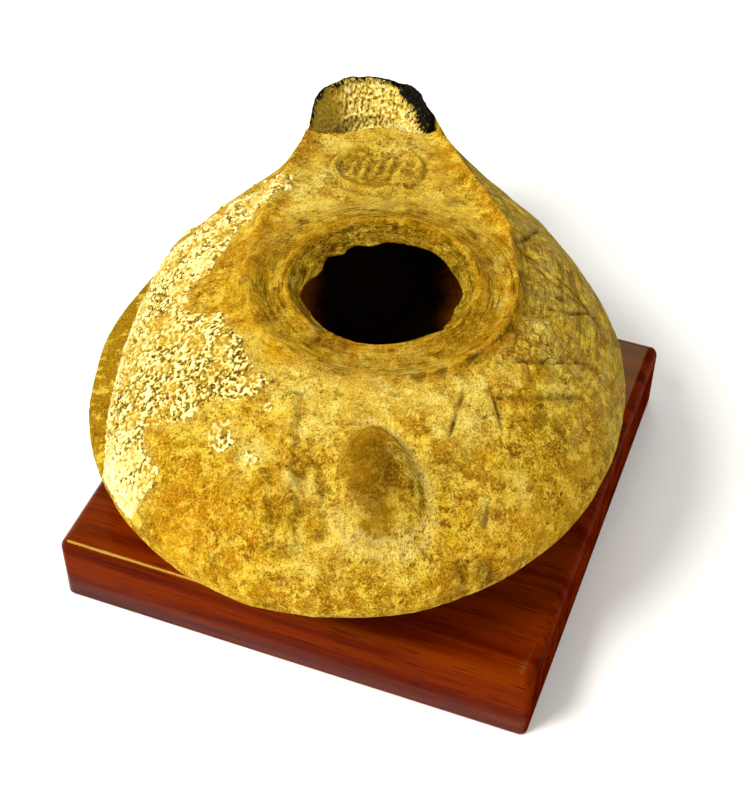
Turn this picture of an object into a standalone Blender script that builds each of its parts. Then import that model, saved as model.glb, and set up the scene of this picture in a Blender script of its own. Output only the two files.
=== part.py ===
"""Slipper lamp: a mould-made oil lamp of fired clay on its square wooden display base.

Metres, +Z up. The origin is the centre of the wooden base's underside, and the lamp's nozzle
points along +Y. The clay lamp is one hollow piece: a pear-shaped bowl with a ring foot, a
filling hole in a double ring, a channel that runs to the wick hole, and a knob handle.
"""
import math

import bmesh
import bpy
import numpy as np

# Wooden base: a square block with softened edges, standing askew under the lamp.
BASE_SIDE = 0.0762
BASE_HEIGHT = 0.0127
BASE_UPRIGHT_RADIUS = 0.0013
BASE_TOP_RADIUS = 0.0018
BASE_BOTTOM_RADIUS = 0.0004
BASE_TURN = math.radians(-20.2)

# Where the filling hole's axis stands over the base, and the gap under the foot.
FILLING_X = 0.00075
FILLING_Y = 0.0023
REST_GAP = 0.0003

# Plan of the bowl and the nozzle, measured from the filling hole's axis.
BOWL_X = -0.00355
BOWL_Y = -0.0030
BOWL_HALF_WIDTH = 0.0416
BOWL_HALF_LENGTH = 0.0460
BOWL_TURN = math.radians(-12.0)
FLARE_X = 0.0036
FLARE_Y = 0.0240
FLARE_RADIUS = 0.0232
NOZZLE_TIP_X = -0.0023
NOZZLE_TIP_Y = 0.0510
NOZZLE_TIP_RADIUS = 0.0108
NOZZLE_BLEND = 0.0080
NOZZLE_WAIST = 0.0008

# Heights above the foot's underside.
EDGE_HEIGHT = 0.0140
NOZZLE_EDGE_RISE = 0.0060
TOP_HEIGHT = 0.0306
CHANNEL_FALL = 0.0042
CHANNEL_FALL_START = 0.0130
CHANNEL_FALL_END = 0.0460
SHOULDER_FULLNESS = 1.5
SHOULDER_EDGE_ROUND = 1.6

# The two mould halves meet in a low band, and on the left the lower half stands out as a ledge.
SEAM_BAND = 0.0017
LEDGE_WIDTH = 0.0043
LEDGE_ANGLE = math.radians(179.0)
LEDGE_HALF_SPAN = math.radians(33.0)

# Foot and underside.
FOOT_X = -0.0025
FOOT_Y = 0.0020
FOOT_HALF_WIDTH = 0.0200
FOOT_HALF_LENGTH = 0.0230
FOOT_HEIGHT = 0.0015
FOOT_RING_WIDTH = 0.0035
FOOT_OUTER_SLOPE = 0.0003
FOOT_INNER_SLOPE = 0.0006
FOOT_RECESS = 0.0008
UNDERSIDE_FLATNESS = 1.3
UNDERSIDE_EDGE_ROUND = 1.6

# Walls of the hollow.
SIDE_WALL = 0.0036
TOP_WALL = 0.0034
FLOOR_WALL = 0.0038

# Filling hole: a thin broken edge, a worn rim around it, a groove, and the outer ring.
HOLE_RADIUS = 0.0120
HOLE_EDGE_THICKNESS = 0.0011
HOLE_EDGE_DROP = 0.0010
HOLE_BEVEL = 0.0009
HOLE_WALL_REACH = 0.0080
RIM_RADIUS = 0.0147
RIM_HEIGHT = 0.0015
RIM_WIDTH = 0.0017
GROOVE_RADIUS = 0.0175
GROOVE_SHIFT = 0.0009
RING_RADIUS = 0.0204
RING_HEIGHT = 0.0011
RING_INNER_WIDTH = 0.0018
RING_OUTER_WIDTH = 0.0014
# Angle in degrees, how far the edge is bitten out or left in, and over how many degrees.
HOLE_BREAKS = (
    (259, 0.0007, 6), (186, 0.0005, 8), (0, 0.0004, 12), (54, 0.0005, 20), (316, 0.0004, 7),
    (154, -0.0014, 12), (124, -0.0011, 7), (99, -0.0009, 8), (291, -0.0004, 10), (342, -0.0005, 6),
)

# Channel between its two ridges, from the ring to the nozzle's tip.
CHANNEL_ROOT_Y = 0.0120
CHANNEL_ROOT_RADIUS = 0.0198
CHANNEL_RIM_INSET = 0.0016
CHANNEL_BLEND = 0.0030

# On the right the shoulder lies a step below the ridge.
RIDGE_STEP = 0.0014
RIDGE_STEP_RUN = 0.0010
RIDGE_STEP_ANGLE = math.radians(27.0)
RIDGE_STEP_HALF_SPAN = math.radians(62.0)

# Wick hole: as wide as the nozzle less its burnt rim, and cut off straight towards the channel.
WICK_RIM = 0.0004
WICK_BACK_Y = 0.0436
WICK_BACK_BOW = 0.0016
WICK_CORNER = 0.0016
WICK_LEAN = 0.0022

# Medallion in the channel: a raised ring with short strokes inside it.
MEDALLION_X = -0.0009
MEDALLION_Y = 0.0322
MEDALLION_HALF_WIDTH = 0.0072
MEDALLION_HALF_LENGTH = 0.0081
MEDALLION_RING_WIDTH = 0.0013
MEDALLION_RELIEF = 0.0006
STROKE_COUNT = 5
STROKE_WIDTH = 0.0011
STROKE_RELIEF = 0.00045
STROKE_HALF_LENGTHS = (0.0024, 0.0036)
STROKE_SPREAD = 0.0050
STROKE_LEAN = 0.0006

# Knob handle: an egg-shaped lump on the back of the shoulder, wider at its outer end.
KNOB_X = 0.0008
KNOB_Y = -0.0352
KNOB_HALF_LENGTH = 0.0073
KNOB_HALF_WIDTH = 0.0060
KNOB_TAPER = 0.28
KNOB_LEAN = -0.18
KNOB_HEIGHT = 0.0042
KNOB_ROUND = 0.75
KNOB_REACHES = (1.0, 0.95, 0.8, 0.58, 0.3)
KNOB_SKIRT = 1.08

# Relief on the shoulder: raised ribs on the left, cut lines on the right. Plan points in metres.
RIB_WIDTH = 0.0018
RIB_HEIGHT = 0.0008
RIBS = (
    ((-0.0125, -0.0231), (-0.0131, -0.0319), (-0.0127, -0.0396), (-0.0124, -0.0428)),
    ((-0.0167, -0.0336), (-0.0164, -0.0386), (-0.0159, -0.0416)),
    ((-0.0168, -0.0342), (-0.0122, -0.0346)),
    ((-0.0166, -0.0386), (-0.0118, -0.0393)),
)
CUT_WIDTH = 0.0012
CUT_DEPTH = 0.0007
CUTS = (
    ((0.0169, -0.0156), (0.0209, -0.0144), (0.0256, -0.0124), (0.0313, -0.0091)),
    ((0.0166, -0.0214), (0.0207, -0.0205), (0.0253, -0.0187), (0.0298, -0.0160)),
    ((0.0255, -0.0016), (0.0287, -0.0007), (0.0318, 0.0021)),
    ((0.0222, 0.0094), (0.0257, 0.0061), (0.0291, 0.0037), (0.0324, 0.0031)),
)
RELIEF_SINK = 0.0012
RELIEF_STEP = 0.0022

# Fineness of the meshes, and where the rings of points lie between two lines of the form.
CORNER_STEPS = 4
EDGE_STEPS = 4
COLUMNS = 96
NOZZLE_COLUMN_ANGLE = math.radians(93.0)
NOZZLE_COLUMN_DENSITY = 2.8
NOZZLE_COLUMN_SPREAD = math.radians(17.0)
WICK_COLUMNS = 40
KNOB_COLUMNS = 24
MEDALLION_COLUMNS = 28
GROOVE_SHARES = (0.35, 0.7, 1.0)
SHOULDER_SHARES = (0.2, 0.42, 0.62, 0.79, 0.92, 0.985)
UNDERSIDE_SHARES = (0.97, 0.88, 0.72, 0.5, 0.26, 0.0)
CEILING_SHARES = (0.35, 0.7, 0.9, 1.0)
FLOOR_SHARES = (0.99, 0.86, 0.6, 0.3)

# Widest point of the seam band, as a share of the band's height below the seam.
SEAM_BULGE = 0.65

LAMP_BOTTOM = BASE_HEIGHT + REST_GAP


def smooth_min(a, b, reach):
    """The lower of two fields, with their meeting rounded over the given reach."""
    share = np.clip(0.5 + 0.5 * (b - a) / reach, 0.0, 1.0)
    return b + (a - b) * share - reach * share * (1.0 - share)


def ramp(t):
    t = np.clip(t, 0.0, 1.0)
    return t * t * (3.0 - 2.0 * t)


def ellipse_field(x, y, centre_x, centre_y, half_width, half_length):
    """Roughly the distance outside an ellipse, negative inside."""
    reach = np.hypot((x - centre_x) / half_width, (y - centre_y) / half_length)
    return (reach - 1.0) * min(half_width, half_length)


def taper_field(x, y, start, start_radius, end, end_radius, waist=0.0):
    """Distance outside a round-ended strip that narrows from start to end, hollowed by the waist."""
    run_x = end[0] - start[0]
    run_y = end[1] - start[1]
    share = ((x - start[0]) * run_x + (y - start[1]) * run_y) / (run_x ** 2 + run_y ** 2)
    share = np.clip(share, 0.0, 1.0)
    away = np.hypot(x - start[0] - share * run_x, y - start[1] - share * run_y)
    return away - (start_radius + (end_radius - start_radius) * share) + waist * np.sin(math.pi * share)


def outline_field(x, y):
    """Negative inside the lamp's pear-shaped plan."""
    across = (x - BOWL_X) * math.cos(BOWL_TURN) + (y - BOWL_Y) * math.sin(BOWL_TURN)
    along = (y - BOWL_Y) * math.cos(BOWL_TURN) - (x - BOWL_X) * math.sin(BOWL_TURN)
    bowl = ellipse_field(across, along, 0.0, 0.0, BOWL_HALF_WIDTH, BOWL_HALF_LENGTH)
    nozzle = taper_field(x, y, (FLARE_X, FLARE_Y), FLARE_RADIUS,
                         (NOZZLE_TIP_X, NOZZLE_TIP_Y), NOZZLE_TIP_RADIUS, NOZZLE_WAIST)
    return smooth_min(bowl, nozzle, NOZZLE_BLEND)


def plateau_field(x, y):
    """Negative inside the crest line of the ring and of the channel's ridges."""
    ring = np.hypot(x, y) - RING_RADIUS
    tip = (NOZZLE_TIP_X, NOZZLE_TIP_Y)
    channel = taper_field(x, y, (0.0, CHANNEL_ROOT_Y), CHANNEL_ROOT_RADIUS,
                          tip, NOZZLE_TIP_RADIUS - CHANNEL_RIM_INSET)
    return smooth_min(ring, channel, CHANNEL_BLEND)


def wick_field(x, y, inset):
    """Negative inside the wick hole, whose back edge bows a little towards the tip."""
    bow = WICK_BACK_BOW * ((x - NOZZLE_TIP_X) / NOZZLE_TIP_RADIUS) ** 2
    back = WICK_BACK_Y - bow + (inset - WICK_RIM) - y
    return -smooth_min(-(plateau_field(x, y) + inset), -back, WICK_CORNER)


def level_radius(theta, field, level, centre=(0.0, 0.0)):
    """Distance from the centre, along each angle, at which a field reaches a level."""
    near = np.zeros_like(theta)
    far = np.full_like(theta, 2.0 * (BOWL_HALF_LENGTH + NOZZLE_TIP_Y))
    for _ in range(40):
        middle = 0.5 * (near + far)
        x = centre[0] + middle * np.cos(theta)
        y = centre[1] + middle * np.sin(theta)
        inside = field(x, y) < level
        near = np.where(inside, middle, near)
        far = np.where(inside, far, middle)
    return 0.5 * (near + far)


def angle_between(theta, middle):
    """Signed angle from the middle, between minus and plus half a turn."""
    return (theta - middle + math.pi) % (2.0 * math.pi) - math.pi


def ledge_share(theta):
    """1 where the lower half stands out furthest, 0 where the two halves are flush."""
    away = np.abs(angle_between(theta, LEDGE_ANGLE)) / LEDGE_HALF_SPAN
    return np.clip(1.0 - away ** 2.5, 0.0, 1.0)


def top_level(y):
    """Height of the floor between ring and ridges, falling along the channel."""
    return TOP_HEIGHT - CHANNEL_FALL * ramp((y - CHANNEL_FALL_START) / (CHANNEL_FALL_END - CHANNEL_FALL_START))


def edge_level(y):
    """Height of the lamp's widest line, rising towards the nozzle's tip."""
    return EDGE_HEIGHT + NOZZLE_EDGE_RISE * ramp((y - FLARE_Y) / (NOZZLE_TIP_Y - FLARE_Y))


def step_share(theta):
    """1 where the shoulder lies furthest below the ridge, 0 where they meet level."""
    away = np.abs(angle_between(theta, RIDGE_STEP_ANGLE)) / RIDGE_STEP_HALF_SPAN
    return np.clip(1.0 - away ** 3, 0.0, 1.0)


def plain_height(x, y):
    """Upper surface without its relief."""
    theta = np.arctan2(y, x)
    to_edge = np.maximum(-outline_field(x, y) - LEDGE_WIDTH * ledge_share(theta), 0.0)
    past_crest = np.maximum(plateau_field(x, y), 0.0)
    share = to_edge / (to_edge + past_crest + 1e-9)
    climb = (1.0 - (1.0 - share) ** SHOULDER_FULLNESS) ** (1.0 / SHOULDER_EDGE_ROUND)
    step = RIDGE_STEP * step_share(theta) * ramp(past_crest / RIDGE_STEP_RUN)
    return edge_level(y) + (top_level(y) - step - edge_level(y)) * climb


def upper_height(x, y):
    """Upper surface with the rim, the groove and the crest of ring and ridges."""
    out = np.hypot(x, y)
    height = plain_height(x, y)
    height = height + RIM_HEIGHT * np.exp(-((out - RIM_RADIUS) / RIM_WIDTH) ** 2)
    past_crest = plateau_field(x, y)
    width = np.where(past_crest < 0.0, RING_INNER_WIDTH, RING_OUTER_WIDTH)
    return height + RING_HEIGHT * np.exp(-(past_crest / width) ** 2)


def foot_field(x, y):
    return ellipse_field(x, y, FOOT_X, FOOT_Y, FOOT_HALF_WIDTH, FOOT_HALF_LENGTH)


def lower_height(share, seam):
    """Underside between the foot, share 0, and the widest line, share 1."""
    climb = 1.0 - (1.0 - share ** UNDERSIDE_FLATNESS) ** (1.0 / UNDERSIDE_EDGE_ROUND)
    return FOOT_HEIGHT + (seam - FOOT_HEIGHT) * climb


def column_angles():
    """Angles around the filling hole, closer together across the nozzle."""
    fine = np.linspace(-math.pi, math.pi, 3601)
    away = angle_between(fine, NOZZLE_COLUMN_ANGLE) / NOZZLE_COLUMN_SPREAD
    density = 1.0 + NOZZLE_COLUMN_DENSITY * np.exp(-away ** 2)
    total = np.concatenate(([0.0], np.cumsum(0.5 * (density[1:] + density[:-1]))))
    wanted = np.arange(COLUMNS) / COLUMNS * total[-1]
    return np.interp(wanted, total, fine)


def hole_radius(theta):
    radius = np.full_like(theta, HOLE_RADIUS)
    for angle, depth, spread in HOLE_BREAKS:
        away = np.degrees(angle_between(theta, math.radians(angle))) / spread
        radius = radius + depth * np.exp(-away ** 2)
    return radius


def row(theta, radius, height):
    """One closed ring of points around the filling hole's axis."""
    height = np.broadcast_to(height, theta.shape)
    return np.stack([radius * np.cos(theta), radius * np.sin(theta), height], axis=1)


def surface_row(theta, radius, surface, drop=0.0):
    x = radius * np.cos(theta)
    y = radius * np.sin(theta)
    return row(theta, radius, surface(x, y) - drop)


def upper_rows(theta, edge):
    """From the filling hole's edge over ring, channel and shoulder to the widest line."""
    hole = hole_radius(theta) + HOLE_BEVEL
    crest = level_radius(theta, plateau_field, 0.0)
    inner_foot = level_radius(theta, plateau_field, -RING_INNER_WIDTH)
    outer_foot = level_radius(theta, plateau_field, 0.9 * RING_OUTER_WIDTH)
    outer_foot = np.minimum(outer_foot, crest + 0.55 * (edge - crest))
    groove = np.minimum(GROOVE_RADIUS, 0.5 * (RIM_RADIUS + inner_foot) + GROOVE_SHIFT)
    rim = np.full_like(theta, RIM_RADIUS)
    radii = [hole, 0.5 * (hole + rim), rim, 0.55 * rim + 0.45 * groove, groove]
    for share in GROOVE_SHARES:
        radii.append(groove + share * (inner_foot - groove))
    radii += [crest, outer_foot]
    for share in SHOULDER_SHARES:
        radii.append(outer_foot + share * (edge - outer_foot))
    rows = [surface_row(theta, radius, upper_height) for radius in radii]
    rows[0][:, 2] -= HOLE_EDGE_DROP
    return rows


def seam_rows(theta, edge, outline):
    """The low band where the mould halves meet, with the ledge of the lower half."""
    seam = edge_level(outline * np.sin(theta))
    return [
        row(theta, edge, seam + 0.35 * SEAM_BAND),
        row(theta, edge + 0.05 * (outline - edge), seam),
        row(theta, outline - 0.08 * (outline - edge), seam - 0.25 * SEAM_BAND),
        row(theta, outline, seam - SEAM_BULGE * SEAM_BAND),
    ]


def under_rows(theta, outline):
    """From the widest line down the underside to the foot ring and its shallow recess."""
    seam = edge_level(outline * np.sin(theta)) - SEAM_BULGE * SEAM_BAND
    foot = level_radius(theta, foot_field, 0.0)
    rows = []
    for share in UNDERSIDE_SHARES:
        rows.append(row(theta, foot + share * (outline - foot), lower_height(share, seam)))
    rows.append(row(theta, foot - FOOT_OUTER_SLOPE, 0.0))
    rows.append(row(theta, foot - FOOT_RING_WIDTH, 0.0))
    rows.append(row(theta, foot - FOOT_RING_WIDTH - FOOT_INNER_SLOPE, FOOT_RECESS))
    return rows


def hollow_rows(theta, edge, outline):
    """Inside of the wall, from the thin hole edge out under the top and back over the floor."""
    hole = hole_radius(theta)
    wall = level_radius(theta, outline_field, -SIDE_WALL) - 0.85 * (outline - edge)
    foot = level_radius(theta, foot_field, 0.0)
    seam = edge_level(outline * np.sin(theta)) - SEAM_BULGE * SEAM_BAND
    edge_top = HOLE_EDGE_DROP + 0.5 * HOLE_EDGE_THICKNESS
    rows = [surface_row(theta, hole, plain_height, edge_top)]
    rows.append(surface_row(theta, hole + HOLE_BEVEL, plain_height, edge_top + 0.5 * HOLE_EDGE_THICKNESS))
    rows.append(surface_row(theta, hole + HOLE_WALL_REACH, plain_height, TOP_WALL))
    for share in CEILING_SHARES:
        radius = hole + HOLE_WALL_REACH + share * (wall - hole - HOLE_WALL_REACH)
        rows.append(surface_row(theta, radius, plain_height, TOP_WALL))
    for share in FLOOR_SHARES:
        radius = share * wall
        out = np.clip((radius - foot) / (outline - foot), 0.0, 1.0)
        rows.append(row(theta, radius, lower_height(out, seam) + FLOOR_WALL))
    return rows


def new_object(name, mesh, smooth_angle=None):
    mesh.validate()
    item = bpy.data.objects.new(name, mesh)
    bpy.context.scene.collection.objects.link(item)
    if smooth_angle is not None:
        mesh.shade_smooth()
        mesh.set_sharp_from_angle(angle=smooth_angle)
    return item


def closed_mesh(name, rows, first_pole=None, last_pole=None):
    """Mesh through rings of points, closed at a pole point or across the end ring."""
    work = bmesh.new()
    rings = [[work.verts.new(point) for point in ring] for ring in rows]
    for ring, other in zip(rings[:-1], rings[1:]):
        for here in range(len(ring)):
            after = (here + 1) % len(ring)
            work.faces.new((ring[here], ring[after], other[after], other[here]))
    for pole, ring in ((first_pole, rings[0]), (last_pole, rings[-1])):
        if pole is None:
            work.faces.new(ring)
            continue
        tip = work.verts.new(pole)
        for here in range(len(ring)):
            work.faces.new((ring[here], ring[(here + 1) % len(ring)], tip))
    bmesh.ops.recalc_face_normals(work, faces=work.faces)
    mesh = bpy.data.meshes.new(name)
    work.to_mesh(mesh)
    work.free()
    return mesh


def lamp_mesh():
    theta = column_angles()
    outline = level_radius(theta, outline_field, 0.0)
    edge = outline - LEDGE_WIDTH * ledge_share(theta)
    outside = upper_rows(theta, edge) + seam_rows(theta, edge, outline) + under_rows(theta, outline)
    inside = hollow_rows(theta, edge, outline)
    rows = outside[::-1] + inside
    under_pole = (0.0, 0.0, FOOT_RECESS)
    floor_pole = (0.0, 0.0, FOOT_HEIGHT + FLOOR_WALL)
    return closed_mesh("lamp_body", rows, under_pole, floor_pole)


def wick_cutter_mesh():
    """Opens the nozzle's top, a little wider above than where it meets the hollow."""
    theta = np.linspace(-math.pi, math.pi, WICK_COLUMNS, endpoint=False)
    centre = (NOZZLE_TIP_X, 0.5 * (WICK_BACK_Y + NOZZLE_TIP_Y + NOZZLE_TIP_RADIUS) - 0.001)
    rows = []
    top = TOP_HEIGHT - CHANNEL_FALL
    levels = ((top + 0.008, 0.0), (top - 0.0012, 0.0), (top - TOP_WALL - 0.0025, WICK_LEAN))
    for height, lean in levels:
        radius = level_radius(theta, lambda x, y: wick_field(x, y, WICK_RIM + lean), 0.0, centre)
        ring = row(theta, radius, height)
        ring[:, 0] += centre[0]
        ring[:, 1] += centre[1]
        rows.append(ring)
    return closed_mesh("wick_hole", rows)


def knob_mesh():
    theta = np.linspace(-math.pi, math.pi, KNOB_COLUMNS, endpoint=False)
    narrow = 1.0 - KNOB_TAPER * np.sin(theta)
    rows = []
    rises = [KNOB_HEIGHT * (1.0 - reach ** 2) ** KNOB_ROUND for reach in KNOB_REACHES]
    for reach, rise in zip((KNOB_SKIRT,) + KNOB_REACHES, [-RELIEF_SINK] + rises):
        y = KNOB_Y + reach * KNOB_HALF_LENGTH * np.sin(theta)
        x = KNOB_X + KNOB_LEAN * (y - KNOB_Y) + reach * KNOB_HALF_WIDTH * narrow * np.cos(theta)
        rows.append(np.stack([x, y, plain_height(x, y) + rise], axis=1))
    summit = (KNOB_X, KNOB_Y, float(plain_height(np.array(KNOB_X), np.array(KNOB_Y))) + KNOB_HEIGHT)
    return closed_mesh("knob", rows, None, summit)


def surface_under(target, x, y):
    """Height of the target's own mesh under a plan point."""
    found, place, _, _ = target.ray_cast((x, y, 1.0), (0.0, 0.0, -1.0))
    if found:
        return place.z
    return float(upper_height(np.array(x), np.array(y)))


def path_points(corners, step):
    """Points along a route on the shoulder, no further apart than the step."""
    points = [np.array(corners[0])]
    for start, end in zip(corners[:-1], corners[1:]):
        start = np.array(start)
        end = np.array(end)
        count = max(1, math.ceil(np.linalg.norm(end - start) / step))
        for share in range(1, count + 1):
            points.append(start + (end - start) * share / count)
    return np.array(points)


def add_strip(work, target, points, width, top, bottom, closed=False):
    """A bar that follows the target's surface. top and bottom are pairs: lift and share of the width."""
    ahead = np.roll(points, -1, axis=0) - points
    if closed:
        along = ahead + np.roll(ahead, 1, axis=0)
    else:
        ahead[-1] = ahead[-2]
        along = ahead + np.vstack([ahead[:1], ahead[:-1]])
    along = along / np.linalg.norm(along, axis=1)[:, None]
    side = np.stack([-along[:, 1], along[:, 0]], axis=1)
    rings = []
    for point, across in zip(points, side):
        ring = []
        for shift, (lift, share) in ((-1.0, bottom), (1.0, bottom), (1.0, top), (-1.0, top)):
            x, y = point + across * shift * 0.5 * width * share
            ring.append(work.verts.new((x, y, surface_under(target, x, y) + lift)))
        rings.append(ring)
    pairs = list(zip(rings[:-1], rings[1:]))
    if closed:
        pairs.append((rings[-1], rings[0]))
    for ring, other in pairs:
        for here in range(4):
            after = (here + 1) % 4
            work.faces.new((ring[here], ring[after], other[after], other[here]))
    if not closed:
        work.faces.new(rings[0])
        work.faces.new(rings[-1])


def finished_strips(name, work):
    bmesh.ops.recalc_face_normals(work, faces=work.faces)
    mesh = bpy.data.meshes.new(name)
    work.to_mesh(mesh)
    work.free()
    return mesh


def rib_mesh(target, corners):
    work = bmesh.new()
    top = (RIB_HEIGHT, 0.55)
    add_strip(work, target, path_points(corners, RELIEF_STEP), RIB_WIDTH, top, (-RELIEF_SINK, 1.25))
    return finished_strips("rib", work)


def cut_mesh(target, corners):
    work = bmesh.new()
    bottom = (-CUT_DEPTH, 0.5)
    add_strip(work, target, path_points(corners, RELIEF_STEP), CUT_WIDTH, (RELIEF_SINK, 2.0), bottom)
    return finished_strips("cut", work)


def medallion_ring_mesh(target):
    theta = np.linspace(-math.pi, math.pi, MEDALLION_COLUMNS, endpoint=False)
    x = MEDALLION_X + MEDALLION_HALF_WIDTH * np.cos(theta)
    y = MEDALLION_Y + MEDALLION_HALF_LENGTH * np.sin(theta)
    route = np.stack([x, y], axis=1)
    work = bmesh.new()
    top = (MEDALLION_RELIEF, 0.5)
    add_strip(work, target, route, MEDALLION_RING_WIDTH, top, (-RELIEF_SINK, 1.2), closed=True)
    return finished_strips("medallion_ring", work)


def medallion_stroke_mesh(target, number):
    """One short stroke: all lean the same way, and they differ in length."""
    share = (number + 0.5) / STROKE_COUNT * 2.0 - 1.0
    x = MEDALLION_X + share * STROKE_SPREAD
    reach = STROKE_HALF_LENGTHS[number % 2]
    corners = ((x - STROKE_LEAN, MEDALLION_Y - reach), (x + STROKE_LEAN, MEDALLION_Y + reach))
    work = bmesh.new()
    top = (STROKE_RELIEF, 0.5)
    add_strip(work, target, path_points(corners, RELIEF_STEP), STROKE_WIDTH, top, (-RELIEF_SINK, 1.2))
    return finished_strips("medallion_stroke", work)


def combine(target, name, mesh, operation):
    """Adds a hidden helper object to the target by a Boolean, or cuts it out."""
    helper = new_object(name, mesh)
    helper.location = target.location
    helper.hide_render = True
    helper.display_type = 'WIRE'
    modifier = target.modifiers.new(name, 'BOOLEAN')
    modifier.operation = operation
    modifier.solver = 'EXACT'
    modifier.object = helper


def plain_material(name, colour, roughness):
    material = bpy.data.materials.new(name)
    material.use_nodes = True
    shader = material.node_tree.nodes["Principled BSDF"]
    shader.inputs["Base Color"].default_value = (*colour, 1.0)
    shader.inputs["Roughness"].default_value = roughness
    shader.inputs["Metallic"].default_value = 0.0
    return material


def make_lamp():
    lamp = new_object("lamp_body", lamp_mesh(), math.radians(40.0))
    features = [("wick_hole", wick_cutter_mesh(), 'DIFFERENCE')]
    features.append(("knob", knob_mesh(), 'UNION'))
    features.append(("medallion_ring", medallion_ring_mesh(lamp), 'UNION'))
    for number in range(STROKE_COUNT):
        features.append((f"medallion_stroke_{number + 1}", medallion_stroke_mesh(lamp, number), 'UNION'))
    for number, corners in enumerate(RIBS):
        features.append((f"shoulder_rib_{number + 1}", rib_mesh(lamp, corners), 'UNION'))
    for number, corners in enumerate(CUTS):
        features.append((f"shoulder_cut_{number + 1}", cut_mesh(lamp, corners), 'DIFFERENCE'))
    lamp.location = (FILLING_X, FILLING_Y, LAMP_BOTTOM)
    for name, mesh, operation in features:
        combine(lamp, name, mesh, operation)
    lamp.data.materials.append(plain_material("fired_clay", (0.56, 0.42, 0.16), 0.85))
    return lamp


def square_row(inset, height):
    """Rounded square of the base's plan, drawn in by the inset."""
    half = 0.5 * BASE_SIDE - inset
    radius = max(BASE_UPRIGHT_RADIUS - inset, 0.0003)
    points = []
    for corner in range(4):
        for step in range(CORNER_STEPS + 1):
            angle = 0.5 * math.pi * (corner + step / CORNER_STEPS)
            middle = 0.5 * math.pi * corner + 0.25 * math.pi
            centre = math.sqrt(2.0) * (half - radius)
            x = centre * math.cos(middle) + radius * math.cos(angle)
            y = centre * math.sin(middle) + radius * math.sin(angle)
            points.append((x, y, height))
    return points


def make_base():
    rows = [square_row(BASE_BOTTOM_RADIUS, 0.0), square_row(0.0, BASE_BOTTOM_RADIUS)]
    for step in range(EDGE_STEPS + 1):
        angle = 0.5 * math.pi * step / EDGE_STEPS
        inset = BASE_TOP_RADIUS * (1.0 - math.cos(angle))
        height = BASE_HEIGHT - BASE_TOP_RADIUS * (1.0 - math.sin(angle))
        rows.append(square_row(inset, height))
    base = new_object("wooden_base", closed_mesh("wooden_base", rows), math.radians(35.0))
    base.rotation_euler = (0.0, 0.0, BASE_TURN)
    base.data.materials.append(plain_material("lacquered_wood", (0.20, 0.045, 0.015), 0.25))
    return base


def main():
    for item in list(bpy.data.objects):
        bpy.data.objects.remove(item, do_unlink=True)
    make_base()
    make_lamp()


main()
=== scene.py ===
"""Slipper lamp: the looks of the clay lamp and of its lacquered wooden base.

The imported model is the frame. The lamp's visible mesh repeats the form of its solid at a finer
grain, and adds the relief, the breaks, the lime crust and the burning that the solid leaves out.
"""

import functools
import math

import bmesh
import bpy
import numpy as np
from mathutils import Matrix, Vector, noise


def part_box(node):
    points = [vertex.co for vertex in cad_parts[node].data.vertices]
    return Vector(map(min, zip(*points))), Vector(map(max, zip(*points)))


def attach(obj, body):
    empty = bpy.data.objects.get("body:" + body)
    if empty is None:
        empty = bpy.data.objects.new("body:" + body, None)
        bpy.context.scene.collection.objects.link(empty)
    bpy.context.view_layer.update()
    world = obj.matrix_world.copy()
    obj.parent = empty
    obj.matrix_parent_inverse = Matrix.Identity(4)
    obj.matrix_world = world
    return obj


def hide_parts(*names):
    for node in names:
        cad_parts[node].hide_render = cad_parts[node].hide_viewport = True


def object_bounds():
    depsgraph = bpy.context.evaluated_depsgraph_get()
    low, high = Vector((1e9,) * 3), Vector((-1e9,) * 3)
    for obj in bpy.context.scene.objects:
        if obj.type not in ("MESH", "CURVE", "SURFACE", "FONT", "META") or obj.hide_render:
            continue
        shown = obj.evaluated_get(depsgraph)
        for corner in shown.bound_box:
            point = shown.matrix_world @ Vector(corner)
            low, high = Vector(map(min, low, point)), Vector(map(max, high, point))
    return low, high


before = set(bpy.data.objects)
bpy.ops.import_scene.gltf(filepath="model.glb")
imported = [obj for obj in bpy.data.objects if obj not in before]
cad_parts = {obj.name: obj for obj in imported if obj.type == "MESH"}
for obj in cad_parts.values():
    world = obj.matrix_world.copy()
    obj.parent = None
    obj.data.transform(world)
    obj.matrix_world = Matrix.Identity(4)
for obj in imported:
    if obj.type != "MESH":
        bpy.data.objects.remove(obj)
cad_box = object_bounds()

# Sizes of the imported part, in metres, measured from the filling hole's axis and the foot's underside.
FILLING_X = 0.00075
FILLING_Y = 0.0023
LAMP_BOTTOM = 0.0130
LAMP_PLACE = np.array((FILLING_X, FILLING_Y, LAMP_BOTTOM))
BASE_SIDE = 0.0762
BASE_TURN = math.radians(-20.2)
BASE_UPRIGHT_RADIUS = 0.0013
BASE_TOP_RADIUS = 0.0018
BASE_BOTTOM_RADIUS = 0.0004
BASE_LEAST_RADIUS = 0.0003
BASE_CORNER_STEPS = 8
BASE_ROUND_STEPS = 10

BOWL_X = -0.00355
BOWL_Y = -0.0030
BOWL_HALF_WIDTH = 0.0416
BOWL_HALF_LENGTH = 0.0460
BOWL_TURN = math.radians(-12.0)
FLARE_X = 0.0036
FLARE_Y = 0.0240
FLARE_RADIUS = 0.0232
NOZZLE_TIP_X = -0.0023
NOZZLE_TIP_Y = 0.0510
NOZZLE_TIP_RADIUS = 0.0108
NOZZLE_BLEND = 0.0080
NOZZLE_WAIST = 0.0008

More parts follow.
